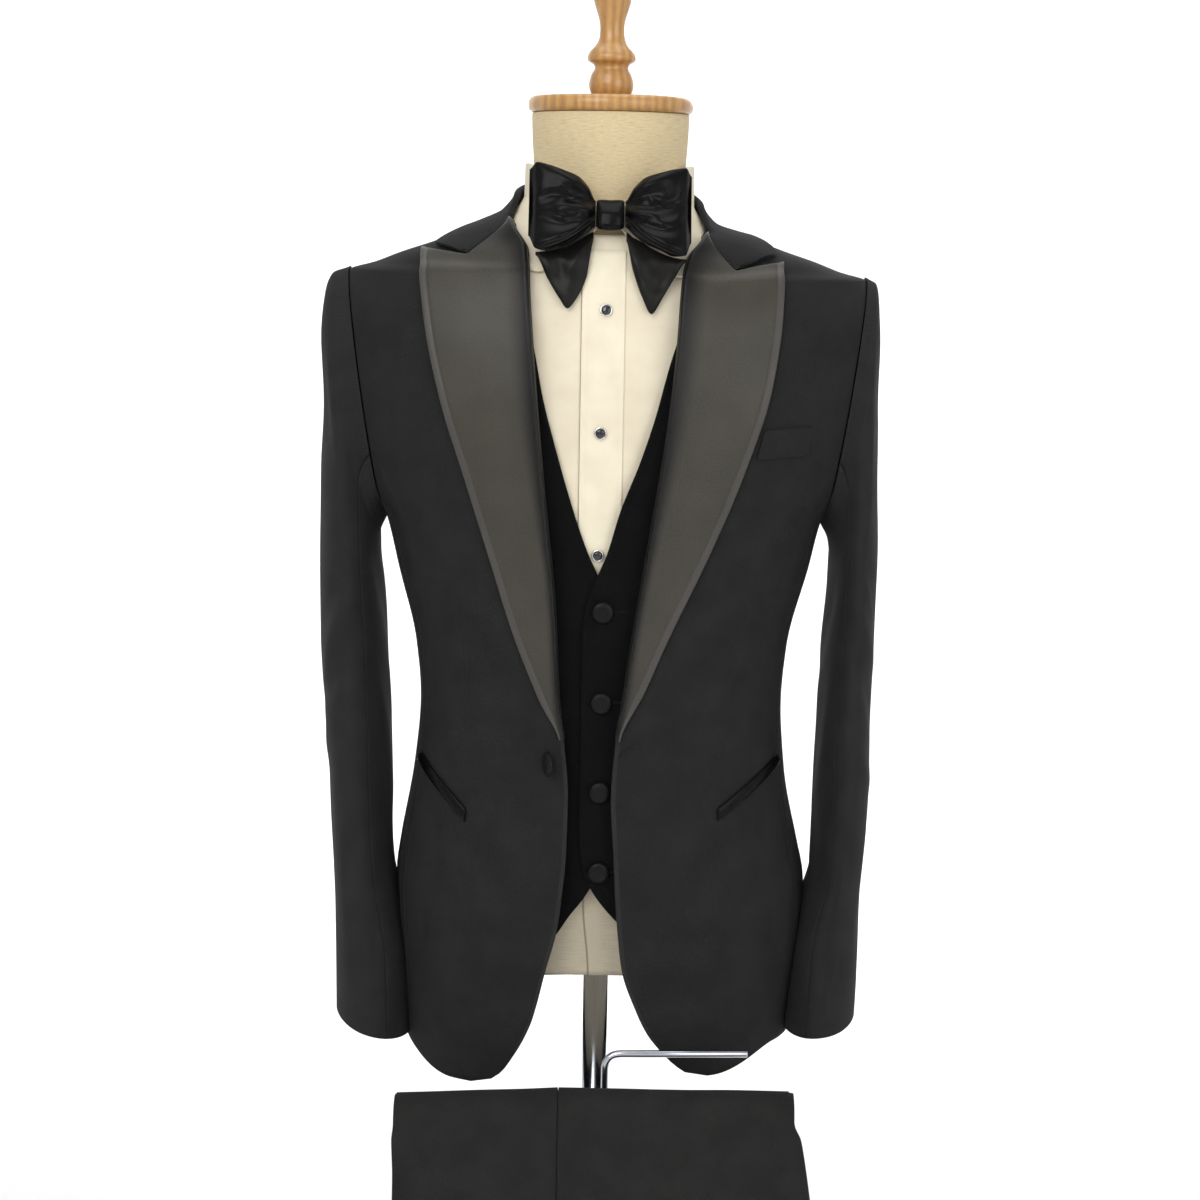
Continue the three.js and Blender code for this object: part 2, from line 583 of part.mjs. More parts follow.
function addWaistcoat() {
  for (const name of ["right", "left"]) {
    bodyPanel(`waistcoat_front_${name}`, FORM, wool, WAISTCOAT_WALL, WAISTCOAT_ROWS, 7,
      (z) => [angleAt(FORM, z, WAISTCOAT_EDGE[name](z).x), waistcoatOuter(z) - seamShift],
      { side: sign[name], out: waistcoatLift(name), rise: waistcoatRise, share: waistcoatShare });
  }
  const rows = [898, 944, 1000, 1070, 1135, 1184, 1207, 1228, 1250, 1277, 1335, 1390, 1427, 1442, 1460];
  addWall("waistcoat_back", spaced(0, 1, 12), rows, WAISTCOAT_WALL, gloss, (s, z) => {
    const reach = waistcoatOuter(z) - seamShift;
    return onBody(FORM, z, 180 + mix(-reach, reach, s), WAISTCOAT_OUT + 0.6);
  });
  [1153, 1075, 998, 929].forEach((z, k) => {
    const place = onBody(FORM, z, angleAt(FORM, z, 0.5), WAISTCOAT_OUT + WAISTCOAT_LAP + GAP);
    addButton(`waistcoat_button_${k + 1}`, 9.2, 5, place, satin, 12);
  });
}

// Shirt
const SHIRT_HEM = 925;
const shirtOuter = (z) => {
  const cut = angleAt(FORM, z, mix(168, 186, smooth(1230, 1425, z)));
  return mix(90, cut, smooth(1220, 1300, z));
};
const PLACKET = { from: -21, to: 14.5 };
function addShirt() {
  const rows = [SHIRT_HEM, 1000, 1080, 1150, 1195, 1222, 1248, 1280, 1322, 1372, 1410, 1430, 1442, 1453, 1463];
  for (const name of ["right", "left"]) {
    const inner = name === "right" ? -PLACKET.from + 0.2 : PLACKET.from + 0.2;
    bodyPanel(`shirt_front_${name}`, FORM, cotton, SHIRT_WALL, rows, 8,
      (z) => [angleAt(FORM, z, inner), shirtOuter(z) - seamShift],
      { side: sign[name], out: () => SHIRT_OUT });
  }
  addWall("shirt_back", spaced(0, 1, 12), rows, SHIRT_WALL, cotton, (s, z) => {
    const reach = shirtOuter(z) - seamShift;
    return onBody(FORM, z, 180 + mix(-reach, reach, s), SHIRT_OUT - 0.6);
  });
  const plackets = [1100, 1150, 1195, 1235, 1275, 1322, 1372, 1410, 1430, 1440, 1450];
  addWall("shirt_placket", [PLACKET.from, -3, PLACKET.to], plackets, 0.9, cotton, (x, z) =>
    onBody(FORM, z, angleAt(FORM, z, x), PLACKET_OUT));
  const collarTop = (u) => mix(1487, 1522, smooth(6, 75, u));
  const collarLow = table(["u", "z"], [
    [0, 1479], [6, 1466], [18, 1431], [31, 1450], [45, 1460], [61, 1470], [90, 1476], [180, 1480],
  ]);
  const around = [1.2, 6, 12, 18, 24, 31, 38, 45, 53, 61, 75, 90, 108, 126, 144, 162, 180];
  const columns = [...around, ...around.slice(0, -1).reverse().map((u) => 360 - u)];
  addWall("shirt_collar", columns, [0, 0.35, 0.7, 1], 2.2, cotton, (u, t) => {
    const reach = Math.min(u, 360 - u);
    const z = mix(collarLow(reach).z, collarTop(reach), t);
    return onBody(FORM, z, u, COLLAR_OUT);
  });
  [[-1, 1402], [-4, 1302], [-4.5, 1200]].forEach(([x, z], k) => {
    const place = onBody(FORM, z, angleAt(FORM, z, x), PLACKET_OUT + GAP);
    addButton(`shirt_stud_${k + 1}`, 5.4, 3, place, stone, 10);
  });
}

// Bow tie: two wings with a tail below each, and a knot. It leans as the collar and chest behind it do
const BOW = ["x", "top", "low", "thick"];
const WING = {
  right: table(BOW, [
    [11, 1491, 1470, 10], [17, 1502, 1464, 14], [26, 1511, 1457, 18], [38, 1516, 1452, 19],
    [50, 1520, 1450, 16], [60, 1522, 1452, 11], [66.5, 1516, 1462, 4],
  ]),
  left: table(BOW, [
    [13, 1491, 1470, 10], [20, 1502, 1464, 14], [30, 1511, 1457, 18], [42, 1515, 1452, 19],
    [54, 1518, 1447, 16], [63, 1519, 1448, 11], [68, 1512, 1458, 4],
  ]),
};
const TAIL = {
  right: table(BOW, [
    [12, 1466, 1459, 4], [18, 1463, 1428, 5], [26, 1459, 1411, 6], [33, 1455, 1403.5, 6],
    [40, 1453, 1412, 5.5], [50, 1450, 1428, 5], [60, 1449, 1446, 3],
  ]),
  left: table(BOW, [
    [14, 1466, 1459, 4], [20, 1462, 1436, 5], [28, 1458, 1414, 6], [36, 1453, 1400, 6],
    [45, 1449, 1413, 5.5], [55, 1446, 1430, 5], [64, 1445, 1442, 3],
  ]),
};
const KNOT = table(BOW, [
  [-10.6, 1489, 1472, 15], [-5, 1492.5, 1467.5, 20], [1, 1493, 1467, 21], [7, 1492.5, 1467.5, 20],
  [12.6, 1489, 1472, 15],
]);
const bowBack = (z) => -(FORM(z).front + COLLAR_OUT + GAP);
function addBowPart(name, side, sizes, stations, sides, ahead) {
  const rings = stations.map((x) => {
    const { top, low, thick } = sizes(x);
    return spaced(0, 360 - 360 / sides, sides).map((phi) => {
      const c = Math.cos(phi * DEGREE);
      const s = Math.sin(phi * DEGREE);
      const z = (top + low) / 2 + ((top - low) / 2) * c;
      const pleat = 1 + 0.16 * Math.cos(3 * phi * DEGREE) * Math.abs(s);
      return [side * x, bowBack(z) - ahead(z) - (thick / 2) * (1 + s * pleat), z];
    });
  });
  addLoft(name, rings, gloss);
}
function addBow() {
  const overTails = (z) => 2 + 6 * (1 - smooth(1452, 1482, z));
  const onShirt = (z) => 0.6 - 4 * (1 - smooth(1425, 1445, z));
  for (const name of ["right", "left"]) {
    const [near, far] = name === "right" ? [11.2, 66.3] : [13.2, 67.8];
    addBowPart(`bow_wing_${name}`, sign[name], WING[name], spaced(near, far, 8), 12, overTails);
    const [start, end] = name === "right" ? [12.5, 60] : [14.5, 64];
    addBowPart(`bow_tail_${name}`, sign[name], TAIL[name], spaced(start, end, 8), 8, onShirt);
  }
  addBowPart("bow_knot", 1, KNOT, spaced(-10.6, 12.6, 6), 12, () => 0.6);
}

// Trousers, folded along their creases and hung over a bar: a strip profile runs down, over and down again
const RAIL = { y: -165, z: 736, radius: 5, cover: 17.4 };
const TROUSER_SEAM = -30;
const FRONT_HANG = { hem: 412, band: 40 };
const LEG_HEM = 55;
// Half widths of the folded trousers along the hang, measured from the bar
const FLAP_FRONT = table(["drop", "left", "right"], [
  [0, 166, 164], [60, 167, 175], [150, 168, 192], [230, 168, 203], [290, 167, 190], [330, 166, 172],
]);
const FLAP_BACK = table(["drop", "left", "right"], [
  [0, 166, 164], [100, 158, 150], [200, 142, 134], [330, 122, 122], [500, 112, 112], [690, 104, 104],
]);
// A point of the hang at run mm along its profile: negative in front, positive behind
function hangPoint(run, radius) {
  const quarter = (Math.PI / 2) * radius;
  const y0 = RAIL.y;
  if (run < -quarter) return { y: y0 - radius, z: RAIL.z + run + quarter, ny: -1, nz: 0, drop: -run - quarter };
  if (run > quarter) return { y: y0 + radius, z: RAIL.z - run + quarter, ny: 1, nz: 0, drop: run - quarter };
  const angle = run / radius;
  return {
    y: y0 + radius * Math.sin(angle), z: RAIL.z + radius * Math.cos(angle),
    ny: Math.sin(angle), nz: Math.cos(angle), drop: 0,
  };
}
const RAIL_SLOPE = 0.05;
const sag = (x) => RAIL_SLOPE * Math.min(x - TROUSER_SEAM, 0);
function trouserPlace(x, run, radius, share) {
  const h = hangPoint(run, radius);
  const width = (run < 0 ? FLAP_FRONT : FLAP_BACK)(h.drop);
  const place = share(x, width);
  const low = sag(place) * (1 - smooth(0, 90, h.drop));
  return { point: new THREE.Vector3(place, h.y, h.z + low), normal: new THREE.Vector3(0, h.ny, h.nz) };
}
function addTrousers() {
  const outer = RAIL.cover + 2;
  const quarter = (Math.PI / 2) * outer;
  const frontEnd = -(RAIL.z - FRONT_HANG.hem - FRONT_HANG.band) - quarter;
  const backEnd = RAIL.z - LEG_HEM + quarter;
  const arch = spaced(-quarter, quarter, 9);
  const runs = [frontEnd, frontEnd + 55, frontEnd + 115, -quarter - 120, -quarter - 50, ...arch,
    quarter + 60, quarter + 200, quarter + 350, quarter + 520, backEnd];
  addWall("trouser_front_right", spaced(0, 1, 4), runs, WOOL, wool, (s, run) =>
    trouserPlace(s, run, outer, (f, w) => mix(-w.left, TROUSER_SEAM - GAP / 2, f)));
  addWall("trouser_back_right", spaced(0, 1, 5), runs, WOOL, wool, (s, run) =>
    trouserPlace(s, run, outer, (f, w) => mix(TROUSER_SEAM + GAP / 2, w.right, f)));
  const bandRuns = [frontEnd - FRONT_HANG.band, frontEnd - GAP];
  addWall("trouser_waistband", spaced(0, 1, 7), bandRuns, WOOL, wool, (s, run) =>
    trouserPlace(s, run, outer, (f, w) => mix(-w.left, w.right, f)));
  // the hidden layers, with rounded folds at both edges
  const inner = outer - WOOL - GAP;
  const innerQuarter = (Math.PI / 2) * inner;
  const positions = runs.map((run, k) => {
    const hanging = Math.abs(run) - quarter;
    const bandDrop = k === 0 ? FRONT_HANG.band - 3 : 0;
    const reach = hanging > 0 ? Math.sign(run) * (innerQuarter + hanging + bandDrop) : run * (inner / outer);
    const h = hangPoint(reach, inner);
    const width = (run < 0 ? FLAP_FRONT : FLAP_BACK)(h.drop);
    const edge = [[5, 0], [1.2, 1.2], [3.4, 2.4], [0.8, 3.6], [3.4, 4.8], [1.4, 6], [5, 7.2]];
    const section = [
      ...edge.map(([inset, depth]) => [-width.left + inset, depth]), [TROUSER_SEAM, 7.2],
      ...edge.map(([inset, depth]) => [width.right - inset, depth]).reverse(), [TROUSER_SEAM, 0],
    ];
    return section.map(([x, depth]) => {
      const low = sag(x) * (1 - smooth(0, 90, h.drop));
      return [x, h.y - h.ny * depth, h.z - h.nz * depth + low];
    });
  });
  addLoft("trouser_layers", positions, wool);
}

// The chrome rods: the rail that the trousers hang on, and a short free arm above it
function addRod(name, points, radius, bend) {
  const path = new THREE.CurvePath();
  let start = points[0];
  for (let k = 1; k < points.length; k += 1) {
    const corner = points[k];
    if (k === points.length - 1) {
      path.add(new THREE.LineCurve3(start, corner));
      break;
    }
    const into = corner.clone().sub(points[k - 1]).normalize();
    const onward = points[k + 1].clone().sub(corner).normalize();
    const before = corner.clone().addScaledVector(into, -bend);
    const after = corner.clone().addScaledVector(onward, bend);
    path.add(new THREE.LineCurve3(start, before));
    path.add(new THREE.QuadraticBezierCurve3(before, corner, after));
    start = after;
  }
  const stations = [];
  path.curves.forEach((curve, index) => {
    const steps = index % 2 === 0 ? [0, 1] : [0.2, 0.4, 0.6, 0.8];
    steps.forEach((t) => stations.push({ p: curve.getPoint(t), d: curve.getTangent(t) }));
  });
  const sides = 8;
  let across = new THREE.Vector3(1, 0, 0);
  if (Math.abs(stations[0].d.x) > 0.7) across = new THREE.Vector3(0, 0, 1);
  const rings = stations.map(({ p, d }) => {
    across = across.clone().addScaledVector(d, -across.dot(d)).normalize();
    const other = new THREE.Vector3().crossVectors(d, across);
    return spaced(0, 360 - 360 / sides, sides).map((phi) => p.clone()
      .addScaledVector(across, radius * Math.cos(phi * DEGREE))
      .addScaledVector(other, radius * Math.sin(phi * DEGREE)).toArray());
  });
  addLoft(name, rings, chrome);
}
const CLAMP = { z: 480, height: 34, radius: 19 };
function addRails() {
  const v = (x, y, z) => new THREE.Vector3(x, y, z);
  const [low, high] = [CLAMP.z - CLAMP.height / 2, CLAMP.z + CLAMP.height / 2];
  addLathe("rail_clamp", [
    [POLE_RADIUS + GAP, low], [CLAMP.radius, low], [CLAMP.radius, high], [POLE_RADIUS + GAP, high],
    [POLE_RADIUS + GAP, low],
  ], chrome, 20);
  const clear = CLAMP.radius + GAP;
  addRod("trouser_rail", [
    v(-clear, 0, CLAMP.z), v(-150, 0, CLAMP.z), v(-150, RAIL.y, CLAMP.z), v(-150, RAIL.y, RAIL.z - 3.8),
    v(150, RAIL.y, RAIL.z + 4.2),
  ], RAIL.radius, 14);
  addRod("free_arm", [v(9, -18.6, CLAMP.z), v(9, -135, CLAMP.z), v(9, -135, 776), v(130, -135, 778)], 3.1, 14);
}

addForm();
addStand();
addShirt();
addWaistcoat();
addJacketBody();
addLapels();
addJacketCollar();
addPockets();
addSleeves();
addJacketButtons();
addBow();
addTrousers();
addRails();

export default group;
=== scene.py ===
"""The looks of a tuxedo on a dress form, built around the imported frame.

Tables are in millimetres, as in the part: +Z is up, the wearer faces -Y and +X is the wearer's left.
"""
import math

import bpy
import numpy as np
from mathutils import Matrix, Vector


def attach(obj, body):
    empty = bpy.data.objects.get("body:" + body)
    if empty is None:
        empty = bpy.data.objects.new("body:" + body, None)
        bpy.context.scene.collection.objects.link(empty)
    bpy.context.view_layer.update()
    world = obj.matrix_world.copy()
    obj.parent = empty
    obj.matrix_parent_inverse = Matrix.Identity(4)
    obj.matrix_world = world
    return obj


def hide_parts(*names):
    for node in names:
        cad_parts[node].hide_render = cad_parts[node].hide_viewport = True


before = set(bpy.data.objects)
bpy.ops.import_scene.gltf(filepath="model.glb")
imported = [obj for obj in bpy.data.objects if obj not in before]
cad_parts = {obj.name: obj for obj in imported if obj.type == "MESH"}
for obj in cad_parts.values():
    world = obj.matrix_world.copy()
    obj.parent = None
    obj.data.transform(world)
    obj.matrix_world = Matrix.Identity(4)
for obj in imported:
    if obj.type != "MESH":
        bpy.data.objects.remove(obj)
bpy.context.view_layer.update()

MM = 0.001
ROOT = "root"

# Camera: a standing photographer, looking slightly down at the chest
CAMERA_PLACE = (-0.002, -2.100, 1.480)
CAMERA_DOWN = 9.07                # degrees below the horizon
CAMERA_ROLL = 1.0
CAMERA_LENS = 72.42

camera = bpy.data.objects.new("camera", bpy.data.cameras.new("camera"))
camera.data.lens = CAMERA_LENS
camera.data.sensor_width = 36
camera.data.clip_start = 0.05
tilt = Matrix.Rotation(math.radians(90 - CAMERA_DOWN), 4, "X")
roll = Matrix.Rotation(math.radians(CAMERA_ROLL), 4, "Z")
camera.matrix_world = Matrix.Translation(CAMERA_PLACE) @ tilt @ roll
bpy.context.scene.collection.objects.link(camera)
bpy.context.scene.camera = camera

# Driving sizes, as in the part
GAP = 0.4
WOOL = 2.0
WAISTCOAT_WALL = 1.6
SHIRT_WALL = 1.2
SATIN_WALL = 2.0
SHIRT_OUT = 1.2
PLACKET_OUT = 2.5
COLLAR_OUT = 4.9
WAISTCOAT_OUT = 6.5
WAISTCOAT_LAP = 3.0
FORM_SLACK = 0.05
JACKET_HEM = 747
LAPEL_BREAK = 1040
ARMHOLE = {"top_x": 222, "top_z": 1430, "low_x": 190, "low_z": 1222}
SIDE_SEAM = 72
BACK_SEAM = 112
SEAM_SHIFT = 0.18                 # degrees that a panel stops short of a seam
ARC = 2.7                         # mm of cloth round the body for each degree
SIDES = {"right": -1, "left": 1}


# Tables: each row is a level, each column a size, and a smooth curve runs between the rows
def table(columns, rows):
    key = np.array([row[0] for row in rows], float)
    values = np.array([row[1:] for row in rows], float)
    step = np.diff(key)[:, None]
    rate = np.diff(values, axis=0) / step
    slope = np.zeros_like(values)
    before, after = rate[:-1], rate[1:]
    same = before * after > 0
    slope[1:-1][same] = (2 * before * after)[same] / (before + after)[same]

    def at(value):
        v = np.clip(np.asarray(value, float), key[0], key[-1])
        k = np.clip(np.searchsorted(key, v, side="right") - 1, 0, len(key) - 2)
        span = step[k]
        f = ((v - key[k])[..., None]) / span
        a, b = values[k], values[k + 1]
        ma, mb = slope[k] * span, slope[k + 1] * span
        out = a + f * ma + f * f * (3 * (b - a) - 2 * ma - mb) + f ** 3 * (2 * (a - b) + ma + mb)
        return {name: out[..., c] for c, name in enumerate(columns[1:])}

    return at


def smooth(start, end, value):
    f = np.clip((np.asarray(value, float) - start) / (end - start), 0, 1)
    return f * f * (3 - 2 * f)


def mix(a, b, f):
    return a + (b - a) * f


BODY = ("z", "half", "front", "back", "power")
FORM = table(BODY, [
    (830, 165, 93, 108, 2.3),
    (900, 163, 99, 110, 2.3),
    (965, 154, 103, 102, 2.3),
    (1060, 145, 102, 88, 2.3),
    (1150, 156, 104, 92, 2.3),
    (1222, 172, 109, 105, 2.3),
    (1322, 190, 111, 114, 2.3),
    (1380, 203, 106, 112, 2.2),
    (1410, 200, 101, 107, 2.1),
    (1427, 189, 97, 103, 2.0),
    (1436, 176, 94, 100, 2.0),
    (1444, 152, 91, 97, 2.0),
    (1453, 128, 87, 92, 2.0),
    (1461, 108, 83, 87, 2.0),
    (1470, 89, 78, 81, 2.0),
    (1480, 77, 73, 74, 2.0),
    (1495, 68, 68, 68, 2.0),
    (1565, 67, 67, 67, 2.0),
])
JACKET = table(BODY, [
    (740, 172, 119, 128, 2.4),
    (800, 174, 120, 126, 2.4),
    (860, 177, 121, 124, 2.4),
    (900, 178, 122, 122, 2.4),
    (930, 174.5, 123, 118, 2.4),
    (1000, 163.5, 124, 108, 2.4),
    (1060, 159, 123, 101, 2.4),
    (1110, 163, 123, 101, 2.4),
    (1180, 180, 124, 110, 2.4),
    (1222, 190, 125, 118, 2.4),
    (1255, 210, 126, 123, 2.4),
    (1290, 223, 126, 126, 2.4),
    (1322, 230, 125, 127, 2.4),
    (1360, 232, 121, 126, 2.4),
    (1400, 230, 114, 121, 2.3),
    (1430, 222.4, 106, 114, 2.1),
    (1437, 200, 103, 111, 2.0),
    (1446, 177, 100, 107, 2.0),
    (1454, 153, 97, 103, 2.0),
    (1463, 129, 94, 98, 2.0),
    (1471, 107.3, 90, 94, 2.0),
    (1480, 88.5, 86, 89, 2.0),
    (1497, 76.8, 79, 82, 2.0),
    (1520, 75.5, 77, 79, 2.0),
])


def unit(vectors):
    return vectors / np.maximum(np.linalg.norm(vectors, axis=-1, keepdims=True), 1e-9)


# Points and normals on a body surface at heights z and angles u in degrees from centre front
def on_body(body, z, u, out=0.0):
    z, u, out = np.broadcast_arrays(np.asarray(z, float), np.asarray(u, float), np.asarray(out, float))
    size = body(z)
    s, c = np.sin(np.radians(u)), np.cos(np.radians(u))
    n = size["power"]
    front = c > 0
    depth = np.where(front, size["front"], size["back"])
    x = size["half"] * np.sign(s) * np.abs(s) ** (2 / n)
    y = -depth * np.sign(c) * np.abs(c) ** (2 / n)
    low, high = body(z - 1), body(z + 1)
    half_slope = (high["half"] - low["half"]) / 2
    depth_slope = np.where(front, high["front"] - low["front"], high["back"] - low["back"]) / 2
    xs, ys = np.abs(x / size["half"]), np.abs(y / depth)
    normal = unit(np.stack([
        np.sign(x) * xs ** (n - 1) / size["half"],
        np.sign(y) * ys ** (n - 1) / depth,
        -(xs ** n) * half_slope / size["half"] - ys ** n * depth_slope / depth,
    ], axis=-1))
    return np.stack([x, y, z], axis=-1) + normal * out[..., None], normal


def angle_at(body, z, x):
    size = body(z)
    share = np.minimum(np.abs(x) / size["half"], 1)
    return np.sign(x) * np.degrees(np.arcsin(share ** (size["power"] / 2)))


# Folds: soft ridges and troughs along bowed lines, with a shallow trough beside each ridge
FOLD = ("a0", "b0", "a1", "b1", "bend", "width", "height")


def folds(rows, a, b):
    total = np.zeros(np.broadcast(a, b).shape)
    for a0, b0, a1, b1, bend, width, height in rows:
        length = math.hypot(a1 - a0, b1 - b0)
        da, db = (a1 - a0) / length, (b1 - b0) / length
        t = ((a - a0) * da + (b - b0) * db) / length
        across = ((b - b0) * da - (a - a0) * db - bend * 4 * t * (1 - t)) / width
        ends = smooth(-0.2, 0.3, t) * (1 - smooth(0.7, 1.2, t))
        total += height * ends * (np.exp(-across ** 2) - 0.4 * np.exp(-((across - 1.7) / 1.1) ** 2))
    return total


# The cloth's small unevenness
def uneven(a, b, amount, phase=0.0):
    waves = np.sin(a / 23 + b / 61 + phase) + np.sin(a / 41 - b / 35 + 1.7 * phase)
    return amount * (waves + 0.7 * np.sin(a / 13 + b / 17 + 2.3 * phase)) / 2.7


# The garments hang a little lower on the wearer's left, most of all beside the neck
SETTLE = {"shoulder": 3, "neck": 7, "neck_x": 82, "spread": 30}


def settled(points):
    x, z = points[..., 0], points[..., 2]
    low = SETTLE["shoulder"] * smooth(60, 120, x)
    low = low + SETTLE["neck"] * np.exp(-((x - SETTLE["neck_x"]) / SETTLE["spread"]) ** 2) * smooth(0, 40, x)
    moved = points.copy()
    moved[..., 2] -= low * smooth(1370, 1460, z) * (1 - smooth(1500, 1525, z))
    return moved


# Meshes
RIM = 0.22                        # how far a rim bulges, as a share of the cloth's thickness


def add_object(name, vertices, faces, looks, uv, face_looks=None):
    mesh = bpy.data.meshes.new(name)
    mesh.from_pydata((np.asarray(vertices) * MM).tolist(), [], faces.tolist())
    mesh.polygons.foreach_set("use_smooth", [True] * len(faces))
    layer = mesh.uv_layers.new(name="cloth")
    corners = np.asarray(faces).ravel()
    layer.data.foreach_set("uv", (np.asarray(uv)[corners] * MM).ravel())
    for look in looks:
        mesh.materials.append(look)
    if face_looks is not None:
        mesh.polygons.foreach_set("material_index", face_looks)
    mesh.update()
    piece = bpy.data.objects.new(name, mesh)
    bpy.context.scene.collection.objects.link(piece)
    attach(piece, ROOT)
    return piece


def shell(name, outer, normal, uv, thickness, looks, face_looks=None):
    """A thin cloth shell with a rounded rim. outer, normal and uv are rows x columns arrays, in mm."""
    outer = settled(outer)
    rows, cols = outer.shape[:2]
    ring = [(0, j) for j in range(cols)] + [(i, cols - 1) for i in range(1, rows)]
    ring += [(rows - 1, j) for j in range(cols - 2, -1, -1)] + [(i, 0) for i in range(rows - 2, 0, -1)]
    ri, rj = np.array(ring).T
    inside = outer[np.clip(ri, 1, rows - 2), np.clip(rj, 1, cols - 2)]
    away = outer[ri, rj] - inside
    ring_normal = normal[ri, rj]
    away -= ring_normal * np.sum(away * ring_normal, axis=1, keepdims=True)
    reach = np.linalg.norm(away, axis=1, keepdims=True)
    away = away / np.maximum(reach, 1e-6)
    bulge = np.minimum(thickness * RIM, 0.6 * reach)
    outer[ri, rj] -= away * bulge
    inner = outer - normal * thickness
    edge = outer[ri, rj]
    layers = []
    steps = 4
    for k in range(1, steps):
        turn = math.pi * k / steps
        back = ring_normal * (thickness / 2) * (1 - math.cos(turn))
        layers.append(edge - back + away * bulge * math.sin(turn))
    vertices = np.concatenate([outer.reshape(-1, 3), inner.reshape(-1, 3), *layers])
    index = np.arange(rows * cols).reshape(rows, cols)
    quads = np.stack([index[:-1, :-1], index[:-1, 1:], index[1:, 1:], index[1:, :-1]], axis=-1).reshape(-1, 4)
    count = rows * cols
    around = [index[ri, rj]]
    around += [2 * count + k * len(ring) + np.arange(len(ring)) for k in range(steps - 1)]
    around.append(index[ri, rj] + count)
    rims = []
    for first, second in zip(around, around[1:]):
        rims.append(np.stack([np.roll(first, -1), first, second, np.roll(second, -1)], axis=-1))
    faces = np.concatenate([quads, quads[:, ::-1] + count, *rims])
    across = np.cross(outer[:-1, 1:] - outer[:-1, :-1], outer[1:, :-1] - outer[:-1, :-1])
    if np.sum(across * normal[:-1, :-1]) < 0:
        faces = faces[:, ::-1]
    flat_uv = uv.reshape(-1, 2)
    all_uv = np.concatenate([flat_uv, flat_uv] + [uv[ri, rj]] * (steps - 1))
    numbers = None
    if face_looks is not None:
        beside = face_looks[np.clip(ri, 0, rows - 2), np.clip(rj, 0, cols - 2)]
        numbers = np.concatenate([face_looks.ravel(), face_looks.ravel()] + [beside] * steps).tolist()
    return add_object(name, vertices, faces, looks, all_uv, numbers)


def loft(name, rings, looks, uv_scale=1.0):
    """A closed solid through rings x points x 3, with a point at each end."""
    count, size = rings.shape[:2]
    ends = np.stack([rings[0].mean(axis=0), rings[-1].mean(axis=0)])
    vertices = np.concatenate([rings.reshape(-1, 3), ends])
    index = np.arange(count * size).reshape(count, size)
    onward = np.roll(index, -1, axis=1)
    quads = np.stack([index[:-1], onward[:-1], onward[1:], index[1:]], axis=-1).reshape(-1, 4)
    first, last = count * size, count * size + 1
    caps = [(first, b, a) for a, b in zip(index[0], onward[0])]
    caps += [(last, a, b) for a, b in zip(index[-1], onward[-1])]
    volume = 0.0
    middle = vertices.mean(axis=0)
    corners = vertices[quads] - middle
    volume = np.sum(corners[:, 0] * np.cross(corners[:, 1], corners[:, 2]))
    if volume < 0:
        quads = quads[:, ::-1]
        caps = [cap[::-1] for cap in caps]
    girth = np.concatenate([[0], np.cumsum(np.linalg.norm(np.diff(rings[count // 2], axis=0), axis=1))])
    along = np.concatenate([[0], np.cumsum(np.linalg.norm(np.diff(rings[:, 0], axis=0), axis=1))])
    grid = np.stack(np.meshgrid(girth, along), axis=-1).reshape(-1, 2) * uv_scale
    uv = np.concatenate([grid, [[0, along[0]], [0, along[-1]]]])
    mesh = bpy.data.meshes.new(name)
    mesh.from_pydata((vertices * MM).tolist(), [], quads.tolist() + [tuple(int(v) for v in c) for c in caps])
    mesh.polygons.foreach_set("use_smooth", [True] * len(mesh.polygons))
    layer = mesh.uv_layers.new(name="cloth")
    loop_vertices = np.zeros(len(mesh.loops), dtype=int)
    mesh.loops.foreach_get("vertex_index", loop_vertices)
    layer.data.foreach_set("uv", (uv[loop_vertices] * MM).ravel())
    for look in looks:
        mesh.materials.append(look)
    mesh.update()
    piece = bpy.data.objects.new(name, mesh)
    bpy.context.scene.collection.objects.link(piece)
    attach(piece, ROOT)
    return piece


def spline(points, count):
    """A smooth curve through the points, evenly parted between them."""
    points = np.asarray(points, float)
    padded = np.concatenate([[2 * points[0] - points[1]], points, [2 * points[-1] - points[-2]]])
    out = []
    for k in range(len(points) - 1):
        p0, p1, p2, p3 = padded[k:k + 4]
        for f in np.linspace(0, 1, count, endpoint=False):
            out.append(0.5 * (2 * p1 + (p2 - p0) * f + (2 * p0 - 5 * p1 + 4 * p2 - p3) * f * f
                              + (3 * p1 - p0 - 3 * p2 + p3) * f ** 3))
    out.append(points[-1])
    return np.array(out)


def turned(name, profile, looks, sides=48, centre=(0, 0, 0), axis=(0, 0, 1), wobble=None):
    """A turned solid. profile is radius and height pairs along the axis, in mm."""
    profile = np.asarray(profile, float)
    turn = np.radians(np.arange(sides) * 360 / sides)
    lean = Vector((0, 0, 1)).rotation_difference(Vector(axis)).to_matrix()
    rings = np.zeros((len(profile), sides, 3))
    for k, (radius, height) in enumerate(profile):
        ring = radius + (wobble(turn, radius) if wobble is not None else 0)
        rings[k, :, 0] = ring * np.cos(turn)
        rings[k, :, 1] = ring * np.sin(turn)
        rings[k, :, 2] = height
    rings = rings @ np.array(lean).T + np.asarray(centre, float)
    return loft(name, rings, looks)


# Materials
def socket(tree, target, value):
    if isinstance(value, bpy.types.NodeSocket):
        tree.links.new(value, target)
    elif isinstance(value, (tuple, list)) and len(value) == 3 and target.type == "RGBA":
        target.default_value = (*value, 1)
    else:
        target.default_value = value


